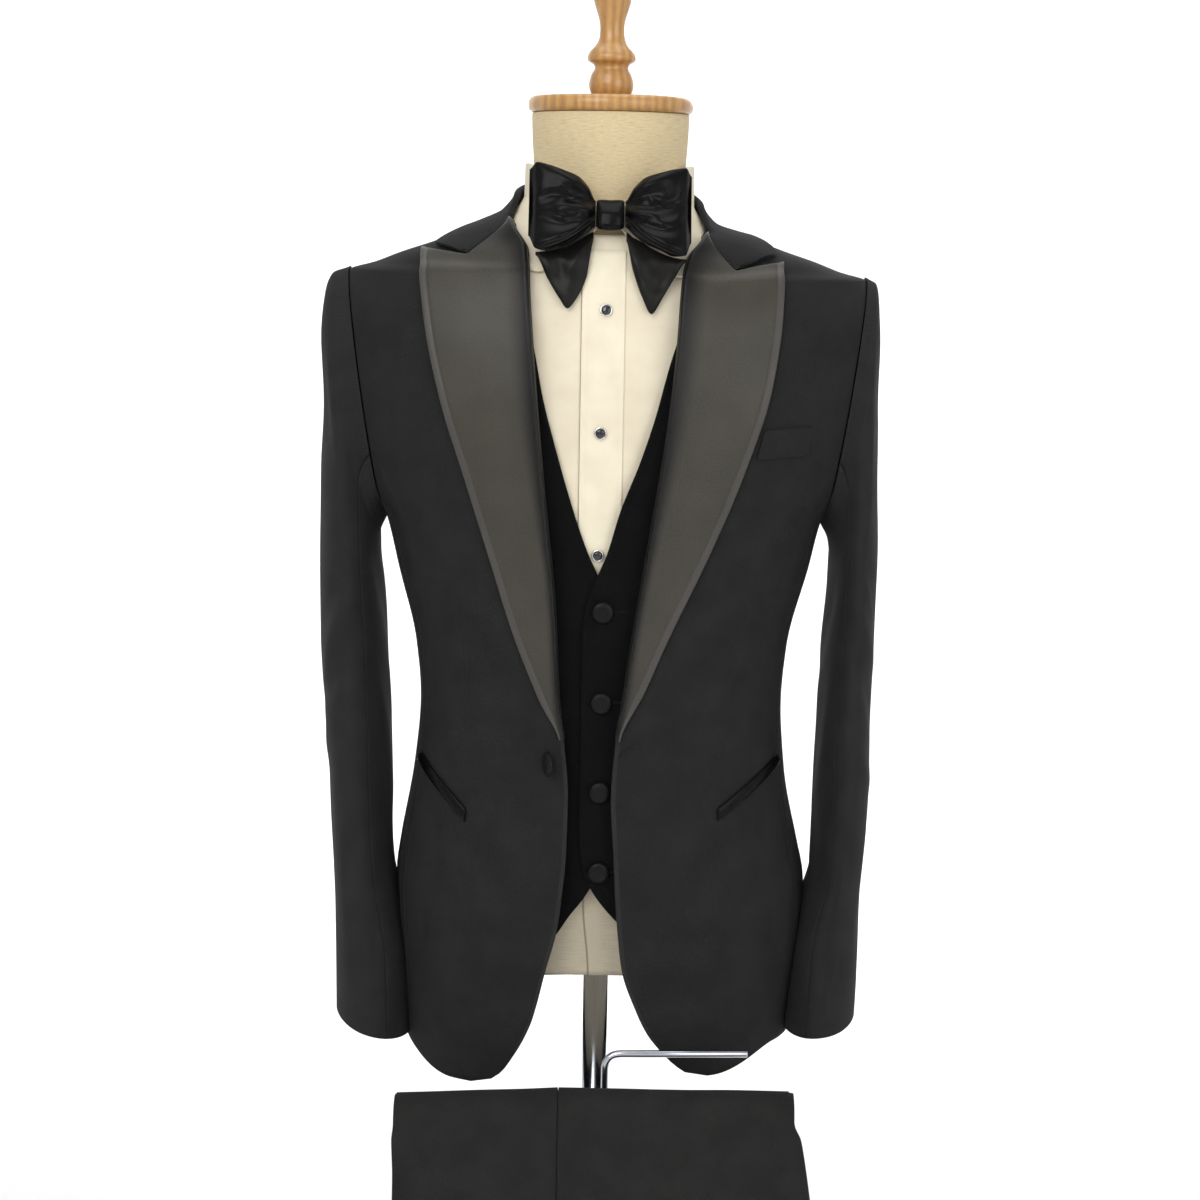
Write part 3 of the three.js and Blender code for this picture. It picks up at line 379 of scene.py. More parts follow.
class Look:
    """A material with a small helper for its nodes."""

    def __init__(self, name, rough, **fixed):
        self.material = bpy.data.materials.new(name)
        self.material.use_nodes = True
        self.tree = self.material.node_tree
        self.shader = self.tree.nodes["Principled BSDF"]
        self.shader.inputs["Roughness"].default_value = rough
        for key, value in fixed.items():
            socket(self.tree, self.shader.inputs[key.replace("_", " ")], value)

    def node(self, kind, values=None, **settings):
        made = self.tree.nodes.new(kind)
        for key, value in settings.items():
            setattr(made, key, value)
        for key, value in (values or {}).items():
            socket(self.tree, made.inputs[key], value)
        return made

    def place(self, source, scale):
        """Coordinates in mm, scaled along each axis."""
        where = self.node("ShaderNodeTexCoord").outputs[source]
        return self.node("ShaderNodeMapping", {"Vector": where, "Scale": scale}).outputs["Vector"]

    def noise(self, where, size, detail=2.0, rough=0.5):
        values = {"Vector": where, "Scale": 1 / size, "Detail": detail, "Roughness": rough}
        return self.node("ShaderNodeTexNoise", values).outputs["Fac"]

    def wave(self, where, period, direction, distortion=0.0):
        values = {"Vector": where, "Scale": 0.314 / period, "Distortion": distortion, "Detail": 1.0}
        return self.node("ShaderNodeTexWave", values, bands_direction=direction).outputs["Fac"]

    def math(self, operation, a, b):
        return self.node("ShaderNodeMath", {0: a, 1: b}, operation=operation).outputs[0]

    def ramp(self, value, stops):
        made = self.node("ShaderNodeValToRGB", {"Fac": value})
        while len(made.color_ramp.elements) < len(stops):
            made.color_ramp.elements.new(0.5)
        for element, (position, color) in zip(made.color_ramp.elements, stops):
            element.position = position
            element.color = (*color, 1)
        return made.outputs["Color"]

    def span(self, value, start, end, low=0.0, high=1.0):
        values = {"Value": value, "From Min": start, "From Max": end, "To Min": low, "To Max": high}
        return self.node("ShaderNodeMapRange", values, interpolation_type="SMOOTHSTEP").outputs["Result"]

    def blend(self, share, first, second):
        made = self.node("ShaderNodeMix", data_type="RGBA")
        for target, value in zip((made.inputs[0], made.inputs[6], made.inputs[7]), (share, first, second)):
            socket(self.tree, target, value)
        return made.outputs[2]

    def color(self, value):
        socket(self.tree, self.shader.inputs["Base Color"], value)

    def rough(self, value, low, high):
        spread = self.node("ShaderNodeMapRange", {"Value": value, "To Min": low, "To Max": high})
        socket(self.tree, self.shader.inputs["Roughness"], spread.outputs["Result"])

    def bump(self, height, strength, depth):
        made = self.node("ShaderNodeBump", {"Height": height, "Strength": strength, "Distance": depth * MM})
        socket(self.tree, self.shader.inputs["Normal"], made.outputs["Normal"])


UV_MM = (1000, 1000, 1000)


def wool_look(name, dark, light, rough=0.82):
    look = Look(name, rough, Sheen_Weight=0.05, Sheen_Roughness=0.5, Sheen_Tint=(0.5, 0.5, 0.55),
                Specular_IOR_Level=0.08)
    where = look.place("UV", UV_MM)
    across = look.place("UV", (1000, 700, 1000))
    weave = look.math("MULTIPLY", look.wave(where, 1.1, "DIAGONAL", 0.6), look.wave(across, 0.7, "Y", 0.4))
    grain = look.noise(where, 1.5, 3.0, 0.6)
    broad = look.noise(where, 34.0, 2.0)
    height = look.math("ADD", look.math("MULTIPLY", weave, 0.5), grain)
    look.bump(height, 0.55, 0.35)
    shade = look.math("ADD", look.math("MULTIPLY", grain, 0.6), look.math("MULTIPLY", broad, 0.4))
    look.color(look.ramp(shade, [(0.36, dark), (0.64, light)]))
    look.rough(grain, rough - 0.06, rough + 0.1)
    return look.material


def satin_look(name, dark, light, rough, grain_depth=0.16, coat=0.0, roll=None, sheen=0.05, shine=0.3):
    look = Look(name, rough, Sheen_Weight=sheen, Sheen_Roughness=0.35, Sheen_Tint=(0.75, 0.72, 0.66),
                Specular_IOR_Level=shine, Anisotropic=0.35, Coat_Weight=coat, Coat_Roughness=0.3)
    where = look.place("UV", UV_MM)
    floats = look.place("UV", (1600, 260, 1000))
    lines = look.noise(floats, 1.0, 2.0, 0.55)
    grain = look.noise(where, 1.3, 3.0, 0.65)
    broad = look.noise(where, 40.0, 2.0)
    look.bump(look.math("ADD", look.math("MULTIPLY", lines, 0.6), grain), 0.4, grain_depth)
    shade = look.math("ADD", look.math("MULTIPLY", grain, 0.7), look.math("MULTIPLY", broad, 0.3))
    color = look.ramp(shade, [(0.34, dark), (0.66, light)])
    if roll:
        # where uv x is 0 the satin turns away into its roll; painted shade darkens it there and up at the gorge
        apart = look.node("ShaderNodeSeparateXYZ", {"Vector": where})
        x, z = apart.outputs["X"], apart.outputs["Y"]
        width = look.span(z, 1150, 1400, *roll["width"])
        beside = look.span(look.math("DIVIDE", x, width), 0.1, 1.0)
        below = look.span(z, 1474, 1430)
        beyond = look.span(x, 45, 75)
        share = look.math("MULTIPLY", beside, look.math("MAXIMUM", below, beyond))
        color = look.blend(share, roll["color"], color)
    look.color(color)
    look.rough(lines, rough - 0.05, rough + 0.08)
    return look.material


def smooth_satin_look(name, dark, light, rough):
    look = Look(name, rough, Specular_IOR_Level=0.13, Anisotropic=0.2)
    where = look.place("UV", UV_MM)
    grain = look.noise(where, 0.8, 2.0)
    look.bump(grain, 0.12, 0.05)
    look.color(look.ramp(look.noise(where, 18.0, 2.0), [(0.38, dark), (0.62, light)]))
    look.rough(grain, rough - 0.03, rough + 0.05)
    return look.material


def cotton_look(name, dark, light):
    look = Look(name, 0.78, Sheen_Weight=0.15, Sheen_Roughness=0.5, Specular_IOR_Level=0.3)
    where = look.place("UV", UV_MM)
    weave = look.math("MULTIPLY", look.wave(where, 0.55, "X", 0.3), look.wave(where, 0.6, "Y", 0.3))
    grain = look.noise(where, 1.2, 2.0)
    look.bump(look.math("ADD", look.math("MULTIPLY", weave, 0.5), grain), 0.35, 0.12)
    look.color(look.ramp(look.noise(where, 26.0, 3.0), [(0.35, dark), (0.65, light)]))
    return look.material


def linen_look(name, dark, light, shaded_low_dark, shaded_low_light):
    look = Look(name, 0.86, Sheen_Weight=0.1, Specular_IOR_Level=0.25)
    weft = look.noise(look.place("UV", (45, 1100, 1000)), 1.0, 3.0, 0.65)
    warp = look.noise(look.place("UV", (1300, 90, 1000)), 1.0, 2.0, 0.6)
    fine = look.noise(look.place("UV", UV_MM), 0.9, 2.0)
    yarns = look.math("ADD", look.math("MULTIPLY", weft, 0.78), look.math("MULTIPLY", warp, 0.22))
    look.bump(look.math("ADD", yarns, look.math("MULTIPLY", fine, 0.4)), 0.45, 0.3)
    upper = look.ramp(yarns, [(0.34, dark), (0.5, light), (0.66, tuple(min(c * 1.08, 0.95) for c in light))])
    # the cover is painted greyer below for the shade there, and its front seam is a fine dark line
    shaded_lower = look.ramp(yarns, [(0.34, shaded_low_dark), (0.6, shaded_low_light)])
    apart = look.node("ShaderNodeSeparateXYZ", {"Vector": look.place("Object", (1000, 1000, 1000))})
    x, z = apart.outputs["X"], apart.outputs["Z"]
    color = look.blend(look.span(z, 1150, 1300), shaded_lower, upper)
    seam_x = look.span(z, 830, 897, -7.0, -12.0)
    from_seam = look.math("ABSOLUTE", look.math("SUBTRACT", x, seam_x), 0.0)
    beside = look.math("MAXIMUM", look.span(from_seam, 0.3, 1.3), look.span(z, 1300, 1350))
    color = look.blend(beside, tuple(0.55 * c for c in shaded_low_dark), color)
    look.color(color)
    look.rough(weft, 0.78, 0.95)
    return look.material


def wood_look(name):
    look = Look(name, 0.34, Coat_Weight=0.35, Coat_Roughness=0.18, Specular_IOR_Level=0.5)
    along = look.place("Object", (300, 300, 26))
    grain = look.noise(along, 1.0, 4.0, 0.62)
    rings = look.wave(look.place("Object", (900, 900, 120)), 7.0, "X", 5.0)
    pores = look.noise(look.place("Object", (1500, 1500, 60)), 1.0, 2.0)
    shade = look.math("ADD", look.math("MULTIPLY", grain, 0.65), look.math("MULTIPLY", rings, 0.35))
    look.color(look.ramp(shade, [
        (0.25, (0.385, 0.19, 0.058)), (0.5, (0.475, 0.25, 0.077)), (0.75, (0.56, 0.315, 0.102)),
    ]))
    look.bump(look.math("ADD", pores, look.math("MULTIPLY", grain, 0.5)), 0.15, 0.15)
    look.rough(grain, 0.28, 0.42)
    return look.material


def metal_look(name, color, low, high):
    look = Look(name, low, Metallic=1.0)
    smear = look.noise(look.place("Object", (220, 220, 50)), 1.0, 3.0)
    look.rough(smear, low, high)
    look.color(look.ramp(smear, [(0.3, tuple(c * 0.94 for c in color)), (0.7, color)]))
    look.bump(look.noise(look.place("Object", (900, 900, 900)), 1.0, 2.0), 0.05, 0.02)
    return look.material


def stone_look(name):
    look = Look(name, 0.08, Coat_Weight=0.6, Coat_Roughness=0.05, Specular_IOR_Level=0.6)
    look.color(look.ramp(look.noise(look.place("Object", (600, 600, 600)), 1.0), [
        (0.4, (0.004, 0.004, 0.005)), (0.6, (0.012, 0.012, 0.016)),
    ]))
    look.rough(look.noise(look.place("Object", (900, 900, 900)), 1.0), 0.05, 0.12)
    return look.material


WOOL_LOOK = wool_look("wool", (0.0135, 0.0137, 0.0142), (0.0215, 0.0217, 0.0224))
WAISTCOAT_LOOK = wool_look("waistcoat_wool", (0.0026, 0.0026, 0.0027), (0.0048, 0.0048, 0.0049))
# the sleeves are the jacket's wool, painted lighter for the light on their up-facing cloth
SLEEVE_WOOL_PAINTED_LIGHT_LOOK = wool_look("sleeve_wool_painted_light", (0.0160, 0.0161, 0.0164), (0.0250, 0.0251, 0.0255))
TROUSER_LOOK = wool_look("trouser_wool", (0.0150, 0.0148, 0.0144), (0.0230, 0.0226, 0.0220))
# the lapels' satin carries painted shade along its roll and at the gorge, in the colour given under roll
LAPEL_SATIN_PAINTED_SHADE_LOOK = satin_look("satin", (0.034, 0.031, 0.0235), (0.058, 0.0525, 0.041), 0.42,
                        roll={"width": (9.0, 22.0), "color": (0.004, 0.0038, 0.0036)})
EDGE_LOOK = satin_look("satin_edge", (0.052, 0.048, 0.042), (0.072, 0.067, 0.059), 0.4)
FRONT_EDGE_LOOK = satin_look("front_edge", (0.015, 0.0148, 0.0145), (0.024, 0.0235, 0.023), 0.5, sheen=0.02,
                             shine=0.15)
GLOSS_LOOK = satin_look("gloss_satin", (0.0035, 0.0032, 0.0036), (0.0060, 0.0055, 0.0062), 0.27, 0.06)
BOW_LOOK = smooth_satin_look("bow_satin", (0.0022, 0.0022, 0.0021), (0.0038, 0.0037, 0.0036), 0.27)
# the tails are the wings' satin, painted lighter for the sheen on them
TAIL_PAINTED_SHEEN_LOOK = smooth_satin_look("tail_satin_painted_sheen", (0.0085, 0.0081, 0.0074), (0.0125, 0.0119, 0.0109), 0.33)
WELT_LOOK = smooth_satin_look("welt_satin", (0.0020, 0.0020, 0.0021), (0.0034, 0.0034, 0.0036), 0.3)
BUTTON_LOOK = satin_look("button_satin", (0.0050, 0.0049, 0.0048), (0.0085, 0.0083, 0.008), 0.34, sheen=0.01,
                         shine=0.14)
COTTON_LOOK = cotton_look("cotton", (0.745, 0.665, 0.505), (0.80, 0.725, 0.56))
# the placket is the shirt's cotton, painted lighter for the light on its raised front
PLACKET_PAINTED_LIGHT_LOOK = cotton_look("placket_cotton_painted_light", (0.785, 0.705, 0.545), (0.84, 0.77, 0.60))
# the last two colours are the lower cover's, painted greyer for its shade
LINEN_LOOK = linen_look("linen", (0.545, 0.425, 0.25), (0.665, 0.54, 0.33), (0.48, 0.42, 0.31), (0.575, 0.51, 0.385))
WOOD_LOOK = wood_look("wood")
CHROME_LOOK = metal_look("chrome", (0.58, 0.60, 0.65), 0.1, 0.2)
BASE_LOOK = metal_look("base_plate", (0.56, 0.57, 0.60), 0.22, 0.34)
SILVER_LOOK = metal_look("silver", (0.80, 0.79, 0.76), 0.12, 0.22)
STONE_LOOK = stone_look("stone")
THREAD_LOOK = wool_look("thread", (0.016, 0.016, 0.017), (0.026, 0.026, 0.027), 0.7)
HOLE_LOOK = wool_look("dark_thread", (0.006, 0.006, 0.006), (0.011, 0.011, 0.011), 0.7)


def keep(piece, slot, nodes, form=None, **facts):
    """Hides the nodes that a piece replaces, and gives the piece back."""
    if nodes:
        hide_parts(*nodes)
    return piece


def cut_of(outer):
    """The flat width, length and area of a grid of cloth, in metres."""
    rows = np.linalg.norm(np.diff(outer, axis=1), axis=2).sum(axis=1)
    cols = np.linalg.norm(np.diff(outer, axis=0), axis=2).sum(axis=0)
    a, b = outer[:-1, 1:] - outer[:-1, :-1], outer[1:, :-1] - outer[:-1, :-1]
    c, d = outer[1:, 1:] - outer[:-1, 1:], outer[1:, 1:] - outer[1:, :-1]
    area = (np.linalg.norm(np.cross(a, b), axis=2) + np.linalg.norm(np.cross(c, d), axis=2)).sum() / 2
    return float(rows.max() * MM), float(cols.max() * MM), float(area * MM * MM)


def cloth(name, outer, normal, uv, thickness, looks, slot, nodes, held, rests_on, face_looks=None):
    piece = shell(name, outer, normal, uv, thickness, looks, face_looks)
    width, length, area = cut_of(outer)
    return keep(piece, slot, nodes, "sheet", flat=(width, length), area=min(area, width * length),
                held=held, rests_on=rests_on)


# Jacket
def armhole_x(z):
    return mix(ARMHOLE["low_x"], ARMHOLE["top_x"], (z - ARMHOLE["low_z"]) / (ARMHOLE["top_z"] - ARMHOLE["low_z"]))


def armhole_angle(z):
    cut = angle_at(JACKET, z, armhole_x(z) - GAP / 2)
    return np.where((z > ARMHOLE["top_z"]) | (z < ARMHOLE["low_z"]), 90.0, cut)


def armhole_height(u):
    reach = np.where(u > 90, 180 - u, u)
    low = np.full(np.shape(u), float(ARMHOLE["low_z"]))
    high = np.full(np.shape(u), 1300.0)
    for _ in range(30):
        z = (low + high) / 2
        above = armhole_angle(z) > reach
        low, high = np.where(above, z, low), np.where(above, high, z)
    return low


def jacket_rise(name, u):
    if name == "right":
        return -10 + 24 * smooth(42, 80, u)
    return 18 * smooth(32, 62, u) - 4 * smooth(95, 140, u)


def hem_share(z):
    return 1 - smooth(JACKET_HEM, JACKET_HEM + 110, z)


FRONT_EDGE = {
    "right": table(("z", "x"), [
        (747, 107), (749, 95), (758, 81), (770, 72), (786, 62), (803, 54), (843, 43), (878, 34),
        (909, 30), (944, 27), (996, 26), (1043, 30), (1080, 34), (1164, 39), (1247, 48), (1329, 56),
        (1410, 63), (1451, 66), (1472, 78),
    ]),
    "left": table(("z", "x"), [
        (747, 98), (750, 82), (758, 70), (768, 60), (787, 45), (805, 36), (844, 22), (875, 18),
        (910, 15), (945, 13), (996, 10), (1044, 13), (1081, 18), (1120, 23), (1174, 31), (1240, 41),
        (1311, 51), (1372, 57), (1433, 61), (1451, 65), (1472, 78),
    ]),
}
LAPEL_EDGE = {
    "right": table(("z", "x"), [
        (1040, 33.5), (1078, 51), (1129, 72), (1196, 94), (1262, 115), (1328, 136), (1393, 150), (1447, 156),
    ]),
    "left": table(("z", "x"), [
        (1040, 16.5), (1088, 37), (1131, 55), (1208, 90), (1274, 116), (1341, 136), (1400, 143.5), (1443, 145),
    ]),
}
PEAK = {
    "right": {"roll": (78, 1471), "notch": (116, 1443), "tip": (156, 1447), "corner": (141, 1449)},
    "left": {"roll": (77.4, 1469), "notch": (104, 1439), "tip": (145, 1443), "corner": (131, 1447)},
}

# Folds of the jacket: degrees from centre front and heights, with each fold's own bend, width and height in mm
JACKET_FOLDS = {
    "front_right": [
        (66, 1300, 60, 1120, 8, 15, -1.6), (50, 1215, 30, 1090, -6, 17, 0.7), (22, 1012, 56, 1066, 5, 11, 0.8),
        (18, 992, 52, 1000, -4, 12, -0.7), (34, 955, 40, 790, 6, 20, 1.1), (57, 985, 62, 800, -7, 17, -1.3),
        (24, 900, 27, 800, 3, 13, -0.6), (68, 930, 66, 770, 4, 10, 0.9), (62, 1390, 70, 1320, 6, 10, -0.9),
    ],
    "front_left": [
        (65, 1290, 61, 1130, -7, 14, -1.5), (46, 1200, 26, 1085, 7, 18, 0.8), (16, 1004, 50, 1058, -5, 12, 0.8),
        (14, 985, 44, 1012, 4, 10, -0.6), (30, 930, 34, 785, -7, 22, 1.2), (54, 1000, 59, 795, 6, 16, -1.2),
        (20, 880, 24, 790, -3, 12, -0.5), (67, 950, 69, 765, -5, 11, 1.0), (60, 1385, 71, 1325, -5, 11, -0.9),
    ],
    "side_right": [(84, 1190, 94, 1010, 6, 12, -1.3), (98, 1050, 90, 830, -6, 16, 1.3), (80, 960, 84, 800, 4, 11, -0.9)],
    "side_left": [(86, 1180, 96, 1020, -5, 13, -1.2), (97, 1070, 91, 850, 7, 15, 1.2), (79, 975, 83, 790, -4, 12, -1.0)],
    "back_right": [
        (122, 1240, 140, 1120, 8, 14, -1.4), (126, 1090, 160, 1030, -6, 12, 1.1), (124, 1030, 156, 1000, 5, 10, -0.9),
        (140, 980, 134, 790, 7, 20, 1.3), (162, 960, 158, 800, -5, 15, -1.0), (134, 1400, 150, 1310, 7, 15, -1.2),
        (170, 1440, 168, 1360, 4, 12, 0.8), (120, 940, 122, 790, -4, 12, -0.8),
    ],
    "back_left": [
        (120, 1250, 143, 1135, -7, 15, -1.3), (124, 1075, 158, 1045, 6, 11, 1.1), (128, 1015, 160, 985, -5, 11, -0.8),
        (143, 960, 138, 780, -7, 18, 1.2), (164, 975, 161, 820, 6, 14, -1.1), (132, 1390, 147, 1300, -6, 16, -1.3),
        (169, 1450, 171, 1370, -4, 11, 0.7), (121, 925, 119, 780, 5, 13, -0.9),
    ],
}
DARTS = {"front_right": ((-120, 1163), (-112, 1044)), "front_left": ((117, 1167), (113, 1048))}
DART_WIDTH = 1.1
DART_DEPTH = 0.8


def arc_rows(rows):
    return [(a0 * ARC, b0, a1 * ARC, b1, *rest) for a0, b0, a1, b1, *rest in rows]


def jacket_relief(key, u, z, phase):
    relief = folds(arc_rows(JACKET_FOLDS[key]), u * ARC, z) + uneven(u * ARC, z, 0.35, phase)
    if key in DARTS:
        (x0, z0), (x1, z1) = DARTS[key]
        f = np.clip((z - z0) / (z1 - z0), 0, 1)
        line = angle_at(JACKET, z, mix(abs(x0), abs(x1), f))
        beyond = smooth(z0 + 8, z0 - 8, z) * smooth(z1 - 8, z1 + 8, z)
        relief -= DART_DEPTH * beyond * np.exp(-(((u - line) * ARC) / DART_WIDTH) ** 2)
    return relief


def side_columns(first, last, count):
    return np.linspace(first, last, count)


BAND = 3.0                        # width of the satin edge
ALONG_BODY = np.concatenate([np.linspace(JACKET_HEM, 1396, 132), np.linspace(1400, 1472, 44)])


# The skirt swings out a little on the wearer's left
def swing(name, u, z):
    reach = 7.0 if name == "left" else 0.0
    return reach * np.exp(-((u - 92) / 32) ** 2) * np.exp(-((z - 860) / 75) ** 2)


def jacket_panel(name, u, z, side, looks, face_looks=None, phase=0.0):
    height = z + jacket_rise(name.split("_")[1], u) * hem_share(z)
    point, normal = on_body(JACKET, height, u)
    relief = jacket_relief(name, u, z, phase)
    # a panel's folds fade at its seams and edges
    cols = np.linspace(0, 1, u.shape[1])[None, :]
    fade = smooth(0, 0.06, cols) * (1 - smooth(0.94, 1, cols))
    relief = np.where(relief < 0, relief * np.maximum(fade, 0.15), relief * fade)
    relief = relief + swing(name.split("_")[1], u, height)
    point = point + normal * relief[..., None]
    uv = np.stack([u * ARC, height], axis=-1)
    point[..., 0] *= side
    normal = normal * np.array([side, 1, 1])
    return cloth(f"jacket_{name}_shell", point, normal, uv, WOOL, looks, "wool", [f"jacket_{name}"], "hung",
                 ["form_torso"], face_looks)


def refine_dart(u_row, line, low, high):
    """Gives the columns back as they are."""
    return u_row


def build_jacket_body():
    for side_name, side in SIDES.items():
        z = ALONG_BODY[:, None]
        start = angle_at(JACKET, z, FRONT_EDGE[side_name](z)["x"])
        armhole = armhole_angle(z)
        end = np.where(z < 1322, np.minimum(SIDE_SEAM, armhole), armhole) - SEAM_SHIFT
        band = BAND / ARC
        edge = np.array([0, 0.3, 0.62, 0.92, 1.0, 1.1, 1.5])[None, :] * band
        inner_share = np.linspace(0, 1, 62)[None, 1:]
        u = np.concatenate([start + edge, mix(start + edge[:, -1:], end, inner_share)], axis=1)
        zz = np.broadcast_to(z, u.shape)
        looks = np.zeros((u.shape[0] - 1, u.shape[1] - 1), int)
        satin_rows = ALONG_BODY[:-1] > 772
        looks[np.ix_(satin_rows, [0, 1, 2])] = 1
        jacket_panel(f"front_{side_name}", u, zz, side, [WOOL_LOOK, FRONT_EDGE_LOOK], looks, phase=0.4 + side)
        back_rows = np.concatenate([ALONG_BODY, np.linspace(1474, 1493, 9)])
        z = back_rows[:, None]
        armhole = armhole_angle(z)
        reach = np.where(z < 1322, np.minimum(180 - BACK_SEAM, armhole), armhole)
        start = 180 - reach + SEAM_SHIFT
        u = mix(start, 180 - SEAM_SHIFT, np.linspace(0, 1, 46)[None, :])
        jacket_panel(f"back_{side_name}", u, np.broadcast_to(z, u.shape), side, [WOOL_LOOK], phase=2.1 + side)
        u = np.linspace(SIDE_SEAM + SEAM_SHIFT, BACK_SEAM - SEAM_SHIFT, 24)[None, :]
        low = JACKET_HEM + jacket_rise(side_name, u)
        height = mix(low, armhole_height(u) - GAP, np.linspace(0, 1, 90)[:, None])
        u = np.broadcast_to(u, height.shape)
        point, normal = on_body(JACKET, height, u)
        relief = jacket_relief(f"side_{side_name}", u, height, 3.3 + side)
        cols = np.linspace(0, 1, u.shape[1])[None, :]
        relief = relief * smooth(0, 0.1, cols) * (1 - smooth(0.9, 1, cols)) + swing(side_name, u, height)
        point = (point + normal * relief[..., None]) * np.array([side, 1, 1])
        cloth(f"jacket_side_{side_name}_shell", point, normal * np.array([side, 1, 1]),
              np.stack([u * ARC, height], axis=-1), WOOL, [WOOL_LOOK], "wool", [f"jacket_side_{side_name}"],
              "hung", ["form_torso"])


# Lapels
def notch_share(name):
    roll_point, notch, tip = (PEAK[name][key] for key in ("roll", "notch", "tip"))
    return (notch[0] - roll_point[0]) / (tip[0] - roll_point[0])


def lapel_place(name, s, t):
    roll_point, notch, tip = (PEAK[name][key] for key in ("roll", "notch", "tip"))
    at = notch_share(name)
    roll_z = mix(LAPEL_BREAK, roll_point[1], t)
    edge_z = mix(LAPEL_BREAK, tip[1], t)
    straight = mix(roll_point[0], tip[0], at)
    dip = notch[1] - mix(roll_point[1], tip[1], at)
    tent = np.where(s < at, s / at, (1 - s) / (1 - at))
    top = t ** 8
    x = mix(FRONT_EDGE[name](roll_z)["x"] + 0.2, LAPEL_EDGE[name](edge_z)["x"], s)
    return x + (notch[0] - straight) * tent * top, mix(roll_z, edge_z, s) + dip * tent * top


LAPEL_BAND = 5.4
ROLL_REACH = 2.6                  # how far the lapel's roll stands out past the front's edge
FACING = 9                        # the stretch of facing that shows inside the roll


def build_lapels():
    for name, side in SIDES.items():
        t = np.concatenate([np.linspace(0.012, 0.9, 96), np.linspace(0.91, 1, 18)])[:, None]
        x0, _ = lapel_place(name, np.zeros_like(t), t)
        x1, _ = lapel_place(name, np.ones_like(t), t)
        width = np.maximum(x1 - x0, 6)
        band = np.minimum(LAPEL_BAND / width, 0.33)
        body = np.linspace(0, 1, 30)[None, :] * (1 - band * 1.25)
        rim = 1 - band * np.array([1.1, 1.0, 0.9, 0.6, 0.3, 0.0])[None, :]
        s = np.concatenate([body, rim], axis=1)
        tt = np.broadcast_to(t, s.shape)
        x, z = lapel_place(name, s, tt)
        clear = GAP + SATIN_WALL + 0.5 + 2.1 * smooth(0.5, 0.9, tt)
        rise = 3.2 * np.exp(-s / 0.1) * smooth(0, 0.5, tt)
        from_edge = (1 - s) * width
        groove = -0.55 * np.exp(-((from_edge - LAPEL_BAND) / 0.7) ** 2)
        swell = 0.35 * np.exp(-((from_edge - LAPEL_BAND * 0.5) / 2.2) ** 2)
        belly = 1.4 * np.sin(np.pi * np.clip(s, 0, 1)) * smooth(0.1, 0.5, tt) * (1 - smooth(0.85, 1, tt))
        out = clear + rise + groove + swell + belly + uneven(x, z, 0.22, side)
        # the roll turns round the front's edge and runs on as facing
        turn = np.radians(np.array([180, 180, 150, 120, 90, 60, 30]))[None, :]
        run = np.array([1.0, 0.0, 0, 0, 0, 0, 0])[None, :]
        top_out = (clear + rise)[:, :1]
        low_out = -(WOOL + GAP)
        centre, radius = (top_out + low_out) / 2, (top_out - low_out) / 2
        grow = smooth(0, 0.12, t)
        roll_x = x[:, :1] + ROLL_REACH * (1 - np.sin(turn)) * grow + FACING * run * grow
        roll_out = centre + radius * np.cos(turn)
        x_all = np.concatenate([roll_x, x + ROLL_REACH * np.exp(-s / 0.06) * grow], axis=1)
        z_all = np.concatenate([np.broadcast_to(z[:, :1], roll_x.shape), z], axis=1)
        out_all = np.concatenate([roll_out, out], axis=1)
        point, normal = on_body(JACKET, z_all, angle_at(JACKET, z_all, x_all), out_all)
        # the true normals, since the roll turns over
        across = np.gradient(point, axis=1)
        along = np.gradient(point, axis=0)
        turned_normal = unit(np.cross(across, along))
        if np.sum(turned_normal[:, -1] * normal[:, -1]) < 0:
            turned_normal = -turned_normal
        point = point * np.array([side, 1, 1])
        turned_normal = turned_normal * np.array([side, 1, 1])
        looks = np.zeros((point.shape[0] - 1, point.shape[1] - 1), int)
        looks[:, -5:] = 1
        from_roll = np.concatenate([-FACING * run - (roll_x - x[:, :1]) * 0.2, s * width], axis=1)
        uv = np.stack([from_roll, z_all], axis=-1)
        cloth(f"lapel_{name}_shell", point, turned_normal, uv, 1.5, [LAPEL_SATIN_PAINTED_SHADE_LOOK, EDGE_LOOK], "satin",
              [f"lapel_{name}"], "folded", [f"jacket_front_{name}"], looks)


